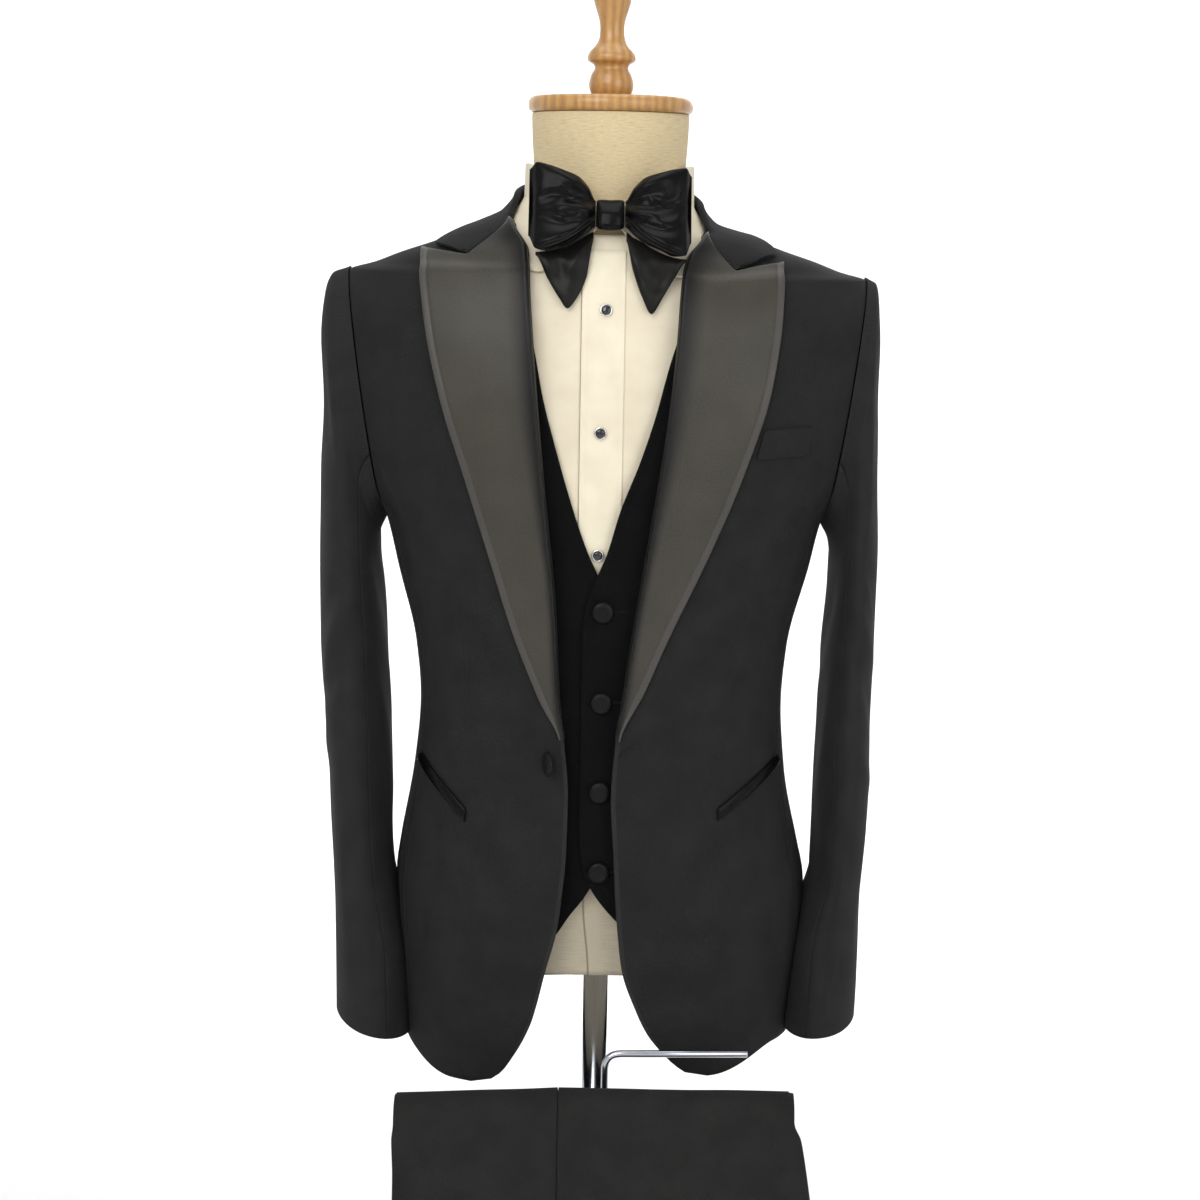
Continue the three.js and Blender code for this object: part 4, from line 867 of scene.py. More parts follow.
# The collar
def build_collar():
    def half(name):
        roll_point, notch, corner = (PEAK[name][key] for key in ("roll", "notch", "corner"))
        shift = 1.3
        roll_u = float(angle_at(JACKET, roll_point[1] + shift, roll_point[0]))
        corner_u = float(angle_at(JACKET, corner[1], corner[0]))
        roll_line = table(("u", "z"), [(roll_u, roll_point[1] + shift), (90, 1499), (130, 1508), (180, 1513)])
        fall_line = table(("u", "z"), [(corner_u, corner[1]), (90, 1466), (130, 1459), (180, 1457)])
        along = (notch[0] - roll_point[0]) / (corner[0] - roll_point[0])
        return roll_u, corner_u, roll_line, fall_line, along, shift

    pieces = []
    for name, side in SIDES.items():
        roll_point, notch, corner = (PEAK[name][key] for key in ("roll", "notch", "corner"))
        roll_u, corner_u, roll_line, fall_line, along, shift = half(name)
        s = np.concatenate([np.linspace(0, 0.3, 22), np.linspace(0.32, 1, 34)])[None, :]
        t = np.concatenate([np.linspace(0, along, 12), np.linspace(along, 1, 9)[1:]])[:, None]
        first = t < along
        f = np.where(first, t / along, (t - along) / (1 - along))
        end_z = np.where(first, mix(roll_point[1], notch[1], f), mix(notch[1], corner[1], f)) + shift
        end_x = np.where(first, mix(roll_point[0], notch[0], f), mix(notch[0], corner[0], f))
        end_u = angle_at(JACKET, end_z, end_x)
        ru, fu = mix(roll_u, 180, s), mix(corner_u, 180, s)
        u = mix(ru, fu, t)
        z = mix(roll_line(ru)["z"], fall_line(fu)["z"], t)
        u_start, z_start = mix(roll_u, corner_u, t), mix(float(roll_line(roll_u)["z"]), float(fall_line(corner_u)["z"]), t)
        weight = np.maximum(1 - s * 4, 0)
        u = u + (end_u - u_start) * weight
        z = z + (end_z - z_start) * weight
        out = np.broadcast_to(GAP + WOOL + 1.6 + 0.6 * (1 - t), u.shape) + uneven(u * ARC, z, 0.2, 5 + side)
        # the roll line turns over into the collar's stand
        turn = np.radians(np.array([180, 150, 120, 90, 60, 30]))[:, None]
        top_out = out[:1]
        low_out = -1.2
        centre, radius = (top_out + low_out) / 2, (top_out - low_out) / 2
        lift = 2.4 * np.sin(turn)
        roll_z = z[:1] - 2.4 + lift
        stand_z = z[:1] - np.array([12.0, 7.0])[:, None]
        u_all = np.concatenate([np.broadcast_to(u[:1], (8, u.shape[1])), u])
        z_all = np.concatenate([stand_z, np.broadcast_to(roll_z, (6, u.shape[1])), z - 2.4 * np.exp(-t / 0.08)])
        out_all = np.concatenate([np.full((2, u.shape[1]), low_out), centre + radius * np.cos(turn), out])
        point, normal = on_body(JACKET, z_all, u_all, out_all)
        true_normal = unit(np.cross(np.gradient(point, axis=1), np.gradient(point, axis=0)))
        if np.sum(true_normal[-1] * normal[-1]) < 0:
            true_normal = -true_normal
        pieces.append((point * np.array([side, 1, 1]), true_normal * np.array([side, 1, 1]),
                       np.stack([side * u_all * ARC, z_all], axis=-1)))
    (rp, rn, ruv), (lp, ln, luv) = pieces
    count = min(rp.shape[0], lp.shape[0])
    point = np.concatenate([rp[:count], lp[:count, -2::-1]], axis=1)
    normal = np.concatenate([rn[:count], ln[:count, -2::-1]], axis=1)
    uv = np.concatenate([ruv[:count], luv[:count, -2::-1] + np.array([-360 * ARC, 0])], axis=1)
    cloth("jacket_collar_shell", point, normal, uv, 1.6, [WOOL_LOOK], "wool", ["jacket_collar"], "folded",
          ["form_torso"])


# Pockets: patches that lie on a front
def build_patch(name, corners, side, out, thickness, looks, slot, edge=0.0):
    s, t = np.linspace(0, 1, 30)[None, :], np.linspace(0, 1, 12)[:, None]
    (x0, z0), (x1, z1), (x2, z2), (x3, z3) = corners
    x = mix(mix(x0, x1, s), mix(x3, x2, s), t)
    z = mix(mix(z0, z1, s), mix(z3, z2, s), t)
    crown = edge * np.sin(np.pi * t) ** 0.6 * np.ones_like(s)
    u = angle_at(JACKET, z, x)
    point, normal = on_body(JACKET, z, u, out + thickness + crown)
    mirror = np.array([side, 1, 1])
    cloth(f"{name}_shell", point * mirror, normal * mirror, np.stack([x, z], axis=-1), thickness, looks, slot,
          [name], "laid", [f"jacket_front_{'left' if side > 0 else 'right'}"])


def build_pockets():
    build_patch("breast_welt", [(131, 1306), (172, 1309), (169, 1285), (125, 1282)], 1, 0.6, 1.4, [WOOL_LOOK], "wool")
    build_patch("hip_welt_right", [(112, 979), (153, 1017), (157, 1009), (113, 968)], -1, 0.8, 1.6, [WELT_LOOK],
                "satin", 0.9)
    build_patch("hip_welt_left", [(100, 985), (151, 1021), (155, 1013), (100, 974)], 1, 0.8, 1.6, [WELT_LOOK],
                "satin", 0.9)


# Sleeves
RING = ("step", "outer_x", "outer_z", "inner_x", "inner_z", "depth", "middle", "body_share")
SLEEVE = {
    "right": table(RING, [
        (0, 222.3, 1431, 190.3, 1221, 70, 0, 1),
        (1, 234, 1427, 192.5, 1215, 73, 0, 0.7),
        (2, 241, 1412, 195.5, 1209, 75, 1, 0.35),
        (3, 243, 1385, 198, 1200, 77, 3, 0),
        (4, 241, 1330, 198, 1180, 79, 5, 0),
        (5, 245, 1262, 195.5, 1155, 80, 7, 0),
        (6, 246.5, 1190, 192.5, 1120, 78, 9, 0),
        (7, 246, 1120, 190, 1080, 74, 9, 0),
        (8, 242, 1050, 188, 1030, 70, 6, 0),
        (9, 237.5, 975, 187, 968, 67, 0, 0),
        (10, 234.5, 905, 186, 900, 64, -8, 0),
        (11, 232, 840, 184, 836, 62, -17, 0),
        (12, 228.5, 782, 181, 761, 60, -28, 0),
    ]),
    "left": table(RING, [
        (0, 222.3, 1431, 190.3, 1221, 70, 0, 1),
        (1, 229, 1427, 192.5, 1215, 73, 0, 0.7),
        (2, 231.5, 1412, 196, 1209, 75, 1, 0.35),
        (3, 232.5, 1385, 199.5, 1200, 77, 3, 0),
        (4, 232, 1330, 202, 1180, 79, 5, 0),
        (5, 235, 1262, 201.5, 1155, 80, 7, 0),
        (6, 238.5, 1190, 198.5, 1120, 78, 9, 0),
        (7, 238.5, 1120, 196, 1080, 74, 9, 0),
        (8, 237, 1050, 194.5, 1030, 70, 6, 0),
        (9, 237.5, 975, 194, 968, 67, 0, 0),
        (10, 234.5, 905, 192.5, 900, 64, -8, 0),
        (11, 232.5, 840, 190, 836, 62, -17, 0),
        (12, 229, 784, 187, 770, 60, -28, 0),
    ]),
}
SLEEVE_ARC = 0.95                 # mm of cloth round the sleeve for each degree
UNDER_FROM = 118
UNDER_TO = 238
SLEEVE_FOLDS = {
    "right": [
        (20, 1395, 30, 1290, 6, 12, -1.5), (-40, 1380, -10, 1240, -8, 14, 1.3), (60, 1340, 85, 1210, 6, 13, -1.4),
        (95, 1190, 30, 1120, 6, 9, 1.6), (100, 1150, 40, 1080, -5, 8, -1.7), (90, 1100, 20, 1055, 4, 8, 1.4),
        (70, 1040, 0, 1000, -5, 10, -1.1), (30, 1000, 15, 850, 6, 13, 1.2), (75, 960, 60, 820, -5, 10, -1.1),
        (-50, 1130, -20, 950, 8, 12, -1.3), (-70, 1250, -60, 1120, 6, 12, 1.1), (-30, 930, -45, 800, -4, 9, 1.0),
        (110, 900, 95, 790, 4, 9, 1.0), (150, 1180, 200, 1060, 9, 12, 1.4), (200, 1010, 165, 880, -7, 13, -1.3),
        (140, 1080, 175, 960, 6, 10, -1.2), (215, 1160, 230, 1000, 5, 10, 1.1), (180, 880, 190, 790, 4, 10, 0.9),
    ],
    "left": [
        (25, 1385, 18, 1280, -6, 13, -1.4), (-35, 1370, -15, 1250, 7, 13, 1.2), (65, 1330, 80, 1220, -6, 12, -1.3),
        (92, 1200, 36, 1140, -6, 9, 1.5), (98, 1165, 30, 1095, 5, 9, -1.6), (94, 1110, 25, 1040, -4, 9, 1.3),
        (75, 1030, 10, 985, 5, 10, -1.2), (25, 985, 30, 840, -6, 12, 1.1), (80, 950, 66, 810, 5, 11, -1.0),
        (-55, 1140, -25, 965, -8, 13, -1.2), (-66, 1240, -70, 1110, -6, 11, 1.2), (-34, 940, -40, 815, 4, 9, 0.9),
        (108, 910, 98, 800, -4, 9, 1.1), (155, 1170, 205, 1070, -8, 11, 1.3), (195, 1020, 170, 895, 7, 12, -1.4),
        (138, 1090, 170, 975, -6, 11, -1.1), (220, 1150, 226, 1010, -5, 11, 1.0), (176, 870, 186, 800, -4, 9, 0.9),
    ],
}


def sleeve_point(name, step, phi):
    ring = SLEEVE[name](step)
    c, s = np.cos(np.radians(phi)), np.sin(np.radians(phi))
    along = (1 - c) / 2
    x = mix(ring["outer_x"], ring["inner_x"], along)
    z = mix(ring["outer_z"], ring["inner_z"], along)
    oval = -ring["depth"] * s + ring["middle"]
    level = mix(ARMHOLE["top_z"], ARMHOLE["low_z"], along)
    size = JACKET(level)
    cut = np.maximum(1 - (armhole_x(level) / size["half"]) ** size["power"], 0)
    seam = -np.sign(s) * np.where(s > 0, size["front"], size["back"]) * cut ** (1 / size["power"])
    return np.stack([x, mix(oval, seam, ring["body_share"]), z], axis=-1)


def sleeve_place(name, step, phi):
    step, phi = np.broadcast_arrays(np.asarray(step, float), np.asarray(phi, float))
    point = sleeve_point(name, step, phi)
    around = sleeve_point(name, step, phi + 2) - sleeve_point(name, step, phi - 2)
    down = sleeve_point(name, np.minimum(step + 0.1, 12), phi) - sleeve_point(name, np.maximum(step - 0.1, 0), phi)
    normal = unit(np.cross(down, around))
    axis = unit(np.array([ARMHOLE["top_x"] - ARMHOLE["low_x"], 0, ARMHOLE["top_z"] - ARMHOLE["low_z"]], float))
    across = np.array([axis[2], 0, -axis[0]])
    flat = unit(normal - across * np.sum(normal * across, axis=-1, keepdims=True))
    normal = np.where((step < 0.05)[..., None], flat, normal)
    return point, normal


# Below the elbow a sleeve's cloth leans on the skirt, and never enters it
SKIRT_CLEAR = 0.9
LEAN = {
    "right": table(("z", "inner", "outer"), [
        (740, 16, -1), (800, 16, 0.5), (840, 15, 1.6), (872, 10, 1.6), (909, 3, 1), (960, 0, 0), (1440, 0, 0),
    ]),
    "left": table(("z", "inner", "outer"), [
        (740, 18, 0), (800, 18, 0.5), (840, 17, 1.6), (872, 12, 2), (895, 4.5, 1.6), (909, 1.5, 1), (960, 0, 0),
        (1440, 0, 0),
    ]),
}


def lean_on_skirt(name, point, phi):
    x, y, z = point[..., 0], point[..., 1], point[..., 2]
    lean = LEAN[name](z)
    x = x - mix(lean["outer"], lean["inner"], (1 - np.cos(np.radians(phi))) / 2)
    size = JACKET(z)
    depth = np.where(y < 0, size["front"], size["back"])
    share = np.clip(1 - (np.abs(y) / depth) ** size["power"], 0, 1)
    skirt = size["half"] * share ** (1 / size["power"]) + swing(name, 90, z) + SKIRT_CLEAR
    moved = point.copy()
    moved[..., 0] = np.where(z < 1000, np.maximum(x, skirt), x)
    return moved


VENT_PHI = -16                    # the sleeve's vent runs beside its buttons
VENT_TOP = 905


def build_sleeves():
    steps = np.concatenate([np.linspace(0, 3, 44), np.linspace(3.1, 12, 116)])[:, None]
    for name, side in SIDES.items():
        for part, start, end, count in (("top", UNDER_TO - 360, UNDER_FROM, 72), ("under", UNDER_FROM, UNDER_TO, 38)):
            phi = np.linspace(start + 0.15, end - 0.15, count)[None, :]
            step, phi = np.broadcast_arrays(steps, phi)
            point, normal = sleeve_place(name, step, phi)
            a, z = phi * SLEEVE_ARC, point[..., 2]
            rows = [(a0 * SLEEVE_ARC, b0, a1 * SLEEVE_ARC, b1, *rest) for a0, b0, a1, b1, *rest in SLEEVE_FOLDS[name]]
            relief = folds(rows, a, z) + uneven(a, z, 0.4, 1.3 * side)
            cols = np.linspace(0, 1, count)[None, :]
            relief = relief * smooth(0, 0.08, cols) * (1 - smooth(0.92, 1, cols))
            relief = relief * smooth(0.3, 1.6, step)
            # the sleeve head is eased in, a little full beside its seam
            head = 0.8 * np.exp(-((step - 0.55) / 0.45) ** 2) * np.clip(np.cos(np.radians(phi)), 0, 1)
            if part == "top":
                vent = (1 - smooth(VENT_TOP - 6, VENT_TOP, z)) * np.exp(-(((phi - VENT_PHI) * SLEEVE_ARC) / 1.0) ** 2)
                relief = relief - 0.7 * vent
            point = lean_on_skirt(name, point + normal * (relief + head)[..., None], phi)
            mirror = np.array([side, 1, 1])
            uv = np.stack([a, z], axis=-1)
            cloth(f"sleeve_{part}_{name}_shell", point * mirror, normal * mirror, uv, 1.8, [SLEEVE_WOOL_PAINTED_LIGHT_LOOK], "wool",
                  [f"sleeve_{part}_{name}"], "hung", [f"jacket_front_{name}", f"jacket_back_{name}"])


# Buttons: a covered button is a dome of cloth gathered under its rim
def covered_profile(radius, height):
    return spline([
        (0.01, 0), (radius * 0.7, 0), (radius * 0.93, height * 0.12), (radius, height * 0.4),
        (radius * 0.9, height * 0.75), (radius * 0.55, height * 0.97), (0.01, height * 1.02),
    ], 5)


def add_button(name, radius, height, point, normal, looks, slot, sides=40):
    def gathers(turn, ring):
        share = np.clip(ring / radius - 0.85, 0, 0.15) / 0.15
        return 0.09 * share * np.sin(turn * 19)

    piece = turned(f"{name}_dome", covered_profile(radius, height), looks, sides, point, normal, gathers)
    return keep(piece, slot, [name])


JACKET_BUTTON = {"x": 41, "z": 1026.0, "radius": 10.5, "height": 4.5, "lean": 62, "stand": 8.4}
SLEEVE_BUTTONS = {"first": 10.53, "pitch": 0.223, "phi": -27, "radius": 7, "height": 4.4}


def build_buttons():
    for name, side in SIDES.items():
        for k in range(4):
            step = SLEEVE_BUTTONS["first"] + SLEEVE_BUTTONS["pitch"] * k
            point, normal = sleeve_place(name, step, SLEEVE_BUTTONS["phi"])
            mirror = np.array([side, 1, 1])
            point, normal = point * mirror, normal * mirror
            add_button(f"sleeve_button_{name}_{k + 1}", SLEEVE_BUTTONS["radius"], SLEEVE_BUTTONS["height"],
                       point + normal * 1.0, normal, [BUTTON_LOOK], "satin")
    # the unfastened button hangs edge-on by its shank
    z, lean = JACKET_BUTTON["z"], math.radians(JACKET_BUTTON["lean"])
    u = -angle_at(JACKET, z, JACKET_BUTTON["x"])
    point, normal = on_body(JACKET, z, u, JACKET_BUTTON["stand"])
    across = unit(np.array([-1, 0, 0]) + normal * normal[0])
    facing = normal * math.cos(lean) + across * math.sin(lean)
    add_button("jacket_button", JACKET_BUTTON["radius"], JACKET_BUTTON["height"], point, facing, [BUTTON_LOOK],
               "satin")
    for k, z in enumerate((1153, 1075, 998, 929)):
        point, normal = on_body(FORM, z, angle_at(FORM, z, 0.5), WAISTCOAT_OUT + WAISTCOAT_LAP)
        add_button(f"waistcoat_button_{k + 1}", 9.2, 5, point, normal, [BUTTON_LOOK], "satin")
    for k, (x, z) in enumerate(((-1, 1402), (-4, 1302), (-4.5, 1200))):
        point, normal = on_body(FORM, z, angle_at(FORM, z, x), PLACKET_OUT + 0.1)
        rim = turned(f"shirt_stud_{k + 1}_rim", spline([
            (0.01, 0), (4.4, 0), (5.3, 0.7), (5.4, 1.6), (4.9, 2.3), (4.2, 2.4), (4.0, 1.9), (0.01, 1.8),
        ], 4), [SILVER_LOOK], 36, point, normal)
        keep(rim, "stud", [f"shirt_stud_{k + 1}"])
        stone = turned(f"shirt_stud_{k + 1}_stone", [
            (0.01, 1.85), (3.95, 1.85), (4.0, 2.2), (3.2, 3.0), (2.2, 3.3), (0.01, 3.35),
        ], [STONE_LOOK], 12, point, normal)
        keep(stone, "stud", [])


# Buttonholes: worked thread round a slit
def add_buttonhole(name, body, x0, z0, x1, z1, side, out, half_width, look, keyhole=True):
    length = math.hypot(x1 - x0, z1 - z0)
    dx, dz = (x1 - x0) / length, (z1 - z0) / length
    turn = np.linspace(0, 2 * np.pi, 61)[:-1]
    along = length / 2 + (length / 2) * np.cos(turn)
    eye = 0.9 * np.exp(-((along - 2) / 2.0) ** 2) if keyhole else 0
    across = (half_width + eye) * np.sign(np.sin(turn)) * np.abs(np.sin(turn)) ** 0.45
    x = x0 + dx * along - dz * across
    z = z0 + dz * along + dx * across
    point, normal = on_body(body, z, angle_at(body, z, x), out)
    ahead = unit(np.roll(point, -1, axis=0) - np.roll(point, 1, axis=0))
    sideways = unit(np.cross(normal, ahead))
    spin = np.radians(np.arange(8) * 45)
    stitch = 1 + 0.16 * np.sin(np.arange(60) * 2.1)
    ring = 0.62 * stitch[:, None, None] * (
        sideways[:, None] * np.cos(spin)[None, :, None] + normal[:, None] * np.sin(spin)[None, :, None])
    rings = (point[:, None] + ring) * np.array([side, 1, 1])
    rings = np.concatenate([rings, rings[:1]])
    piece = loft(name, rings, [look])
    return keep(piece, "wool", [])


# Waistcoat
WAISTCOAT_EDGE = {
    "left": table(("z", "x"), [
        (852, 50), (868, 34), (887, 14), (904, 0), (914, -6), (928, -12), (944, -14.5), (960, -16),
        (1130, -16), (1154, -14), (1180, -6), (1202, 3), (1240, 14), (1277, 28), (1315, 40), (1364, 53),
        (1427, 76), (1460, 97),
    ]),
    "right": table(("z", "x"), [
        (852, 50), (869, 35), (888, 23), (903, 12), (915, 5), (930, -3), (955, -9), (985, -12),
        (1120, -12), (1150, -8), (1181, 3), (1206, 14), (1247, 28), (1288, 40), (1329, 51), (1378, 61),
        (1427, 78), (1460, 97),
    ]),
}
WAISTCOAT_FOLDS = {
    "right": [(12, 1140, 40, 1060, 5, 12, 0.8), (14, 1010, 44, 960, -4, 11, -0.8), (30, 1200, 50, 1080, 5, 14, -0.9)],
    "left": [(8, 1110, 38, 1070, -4, 9, 0.8), (8, 1035, 40, 1020, 3, 8, 0.9), (8, 965, 34, 930, -3, 8, -0.7),
             (28, 1210, 46, 1090, -5, 13, -0.9)],
    "back": [(150, 1200, 165, 1050, 6, 13, 1.0), (205, 1190, 192, 1060, -6, 13, -1.1), (178, 1080, 182, 930, 4, 11, 1.0)],
}


def waistcoat_outer(z):
    cut = angle_at(FORM, z, mix(161, 146, smooth(1200, 1440, z)))
    return mix(90, cut, smooth(1190, 1260, z))


def build_waistcoat():
    rows = np.concatenate([np.linspace(852, 960, 40), np.linspace(964, 1400, 74), np.linspace(1404, 1460, 24)])
    z = rows[:, None]
    for name, side in SIDES.items():
        start = angle_at(FORM, z, WAISTCOAT_EDGE[name](z)["x"])
        end = waistcoat_outer(z) - SEAM_SHIFT
        edge = np.array([0, 0.8, 1.6, 2.0, 2.4, 3.2])[None, :]
        u = np.concatenate([start + edge, mix(start + edge[:, -1:], end, np.linspace(0, 1, 40)[None, 1:])], axis=1)
        zz = np.broadcast_to(z, u.shape)
        height = zz + 46 * smooth(26, 80, np.abs(u)) * (1 - smooth(852, 1000, zz))
        out = np.full(u.shape, WAISTCOAT_OUT)
        if name == "left":
            out = out + WAISTCOAT_LAP * (1 - smooth(10, 24, u))
        stitch = -0.45 * np.exp(-((u - start - 2.0) / 0.32) ** 2)
        relief = folds(arc_rows(WAISTCOAT_FOLDS[name]), u * ARC, zz) + uneven(u * ARC, zz, 0.25, 4 + side)
        cols = np.linspace(0, 1, u.shape[1])[None, :]
        relief = relief * smooth(0.1, 0.2, cols) * (1 - smooth(0.9, 1, cols))
        point, normal = on_body(FORM, height, u, out + relief + stitch)
        mirror = np.array([side, 1, 1])
        cloth(f"waistcoat_front_{name}_shell", point * mirror, normal * mirror, np.stack([u * ARC, height], axis=-1),
              WAISTCOAT_WALL, [WAISTCOAT_LOOK], "wool", [f"waistcoat_front_{name}"], "hung", ["form_torso"])
    z = np.concatenate([np.linspace(898, 1400, 84), np.linspace(1405, 1460, 20)])[:, None]
    reach = waistcoat_outer(z) - SEAM_SHIFT
    u = 180 + mix(-reach, reach, np.linspace(0, 1, 64)[None, :])
    zz = np.broadcast_to(z, u.shape)
    relief = folds(arc_rows(WAISTCOAT_FOLDS["back"]), u * ARC, zz) + uneven(u * ARC, zz, 0.3, 6)
    seam = -0.5 * np.exp(-(((u - 180) * ARC) / 1.4) ** 2)
    point, normal = on_body(FORM, zz, u, WAISTCOAT_OUT + 0.6 + relief * 0.6 + seam)
    cloth("waistcoat_back_shell", point, normal, np.stack([u * ARC, zz], axis=-1), WAISTCOAT_WALL, [GLOSS_LOOK],
          "gloss_satin", ["waistcoat_back"], "hung", ["form_torso"])


# Shirt
PLACKET = {"start": -21, "end": 14.5}
SHIRT_FOLDS = {
    "right": [(24, 1400, 18, 1210, -4, 7, 0.7), (30, 1420, 27, 1300, 3, 8, -0.7), (16, 1330, 15, 1160, 2, 6, -0.5)],
    "left": [(22, 1395, 15, 1200, 4, 7, 0.7), (28, 1430, 24, 1290, -3, 9, -0.8), (13, 1300, 12, 1150, -2, 6, 0.5)],
}


def shirt_outer(z):
    cut = angle_at(FORM, z, mix(168, 186, smooth(1230, 1425, z)))
    return mix(90, cut, smooth(1220, 1300, z))


def build_shirt():
    rows = np.concatenate([np.linspace(925, 1390, 80), np.linspace(1394, 1463, 26)])[:, None]
    for name, side in SIDES.items():
        inner = -PLACKET["start"] + 0.2 if name == "right" else PLACKET["start"] + 0.2
        start = angle_at(FORM, rows, inner * np.ones_like(rows))
        end = shirt_outer(rows) - SEAM_SHIFT
        u = mix(start, end, np.linspace(0, 1, 44)[None, :])
        z = np.broadcast_to(rows, u.shape)
        relief = folds(arc_rows(SHIRT_FOLDS[name]), u * ARC, z) + uneven(u * ARC, z, 0.15, 7 + side)
        relief = np.clip(relief, -0.1, 1.2) * smooth(0, 4, u - start)
        point, normal = on_body(FORM, z, u, SHIRT_OUT + relief)
        mirror = np.array([side, 1, 1])
        cloth(f"shirt_front_{name}_shell", point * mirror, normal * mirror, np.stack([u * ARC, z], axis=-1),
              SHIRT_WALL, [COTTON_LOOK], "cotton", [f"shirt_front_{name}"], "draped", ["form_torso"])
    reach = shirt_outer(rows) - SEAM_SHIFT
    u = 180 + mix(-reach, reach, np.linspace(0, 1, 48)[None, :])
    z = np.broadcast_to(rows, u.shape)
    point, normal = on_body(FORM, z, u, SHIRT_OUT - 0.6)
    cloth("shirt_back_shell", point, normal, np.stack([u * ARC, z], axis=-1), SHIRT_WALL, [COTTON_LOOK], "cotton",
          ["shirt_back"], "draped", ["form_torso"])
    # the placket has a line of stitching inside each edge
    x = np.array([-21, -20.2, -19, -17.6, -17, -16.4, -14, -9, -3, 3, 8, 10.4, 11, 11.6, 13, 14, 14.5])[None, :]
    z = np.linspace(1100, 1450, 90)[:, None]
    x, z = np.broadcast_arrays(x, z)
    stitch = np.exp(-((x + 17) / 0.5) ** 2) + np.exp(-((x - 11) / 0.5) ** 2)
    dash = 0.6 + 0.4 * np.sin(z * 2 * np.pi / 9)
    point, normal = on_body(FORM, z, angle_at(FORM, z, x), PLACKET_OUT - 0.28 * stitch * dash)
    cloth("shirt_placket_shell", point, normal, np.stack([x, z], axis=-1), 0.9, [PLACKET_PAINTED_LIGHT_LOOK], "cotton",
          ["shirt_placket"], "laid", ["shirt_front_right", "shirt_front_left"])
    collar_low = table(("u", "z"), [
        (0, 1479), (6, 1466), (18, 1431), (31, 1450), (45, 1460), (61, 1470), (90, 1476), (180, 1480),
    ])
    u = np.concatenate([np.linspace(1.2, 60, 50), np.linspace(62, 180, 50)])
    u = np.concatenate([u, 360 - u[-2::-1]])[None, :]
    reach = np.minimum(u, 360 - u)
    t = np.linspace(0, 1, 22)[:, None]
    low = collar_low(reach)["z"]
    top = mix(1487, 1522, smooth(6, 75, reach))
    z = mix(low, top, t)
    height = z - low
    stitch = -0.3 * np.exp(-((height - 5) / 0.8) ** 2)
    point, normal = on_body(FORM, z, np.broadcast_to(u, z.shape), COLLAR_OUT + stitch)
    cloth("shirt_collar_shell", point, normal, np.stack([np.broadcast_to(u, z.shape) * 1.4, z], axis=-1), 2.0,
          [COTTON_LOOK], "cotton", ["shirt_collar"], "folded", ["form_torso"])


# Bow tie
BOW = ("x", "top", "low", "thick")
WING = {
    "right": table(BOW, [
        (11, 1491, 1470, 10), (17, 1502, 1464, 14), (26, 1511, 1457, 18), (38, 1516, 1452, 19),
        (50, 1520, 1450, 16), (60, 1522, 1452, 11), (66.5, 1516, 1462, 4),
    ]),
    "left": table(BOW, [
        (13, 1491, 1470, 10), (20, 1502, 1464, 14), (30, 1511, 1457, 18), (42, 1515, 1452, 19),
        (54, 1518, 1447, 16), (63, 1519, 1448, 11), (68, 1512, 1458, 4),
    ]),
}
TAIL = {
    "right": table(BOW, [
        (12, 1466, 1459, 4), (18, 1463, 1428, 5), (26, 1459, 1411, 6), (33, 1455, 1403.5, 6),
        (40, 1453, 1412, 5.5), (50, 1450, 1428, 5), (60, 1449, 1446, 3),
    ]),
    "left": table(BOW, [
        (14, 1466, 1459, 4), (20, 1462, 1436, 5), (28, 1458, 1414, 6), (36, 1453, 1400, 6),
        (45, 1449, 1413, 5.5), (55, 1446, 1430, 5), (64, 1445, 1442, 3),
    ]),
}
KNOT = table(BOW, [
    (-10.6, 1491, 1470, 13), (-9, 1492, 1468.5, 16), (-5, 1492.3, 1467.5, 18), (1, 1492, 1467, 18.6),
    (7, 1492.3, 1467.5, 18), (11, 1492, 1468.5, 16), (12.6, 1491, 1470, 13),
])
WING_FOLDS = {
    "right": [
        (9, 1482, 46, 1486, 2, 3.4, 3.0), (11, 1488, 40, 1500, 3, 4.2, -2.4), (30, 1491, 56, 1494, 4, 3.0, -2.2),
        (12, 1478, 48, 1472, -2, 3.6, -2.4), (34, 1474, 58, 1482, 3, 4.0, 1.6),
        (11, 1477, 66, 1450, -5, 1.6, 3.6), (12, 1472, 60, 1446, -5, 1.5, 3.2), (16, 1497, 46, 1514, 2, 4.5, 1.8),
        (54, 1512, 60, 1466, 3, 6.0, 1.4),
    ],
    "left": [
        (11, 1482, 44, 1480, 1, 3.4, 3.0), (13, 1488, 42, 1498, 3, 4.2, -2.4), (34, 1492, 56, 1490, -4, 3.0, -2.2),
        (14, 1479, 50, 1467, -2, 3.6, -2.4), (38, 1476, 60, 1480, -3, 4.0, 1.6),
        (12, 1477, 64, 1446, -5, 1.6, 3.6), (13, 1472, 56, 1442, -5, 1.5, 3.2), (18, 1497, 48, 1512, 2, 4.5, 1.8),
        (58, 1510, 62, 1462, -3, 6.0, 1.4),
    ],
}
TAIL_FOLDS = {
    "right": [(18, 1458, 35, 1416, 3, 5.5, 1.3), (46, 1446, 33, 1420, -2, 5.0, -1.1)],
    "left": [(20, 1456, 38, 1412, -3, 5.5, 1.2), (52, 1440, 36, 1418, 2, 5.0, -1.1)],
}
KNOT_FOLDS = [(-9, 1481, 11, 1480, 0.6, 4.0, 0.7)]


BOW_COLUMNS, BOW_SIDES = 88, 160


def bow_back(z):
    return -(FORM(z)["front"] + COLLAR_OUT + GAP)


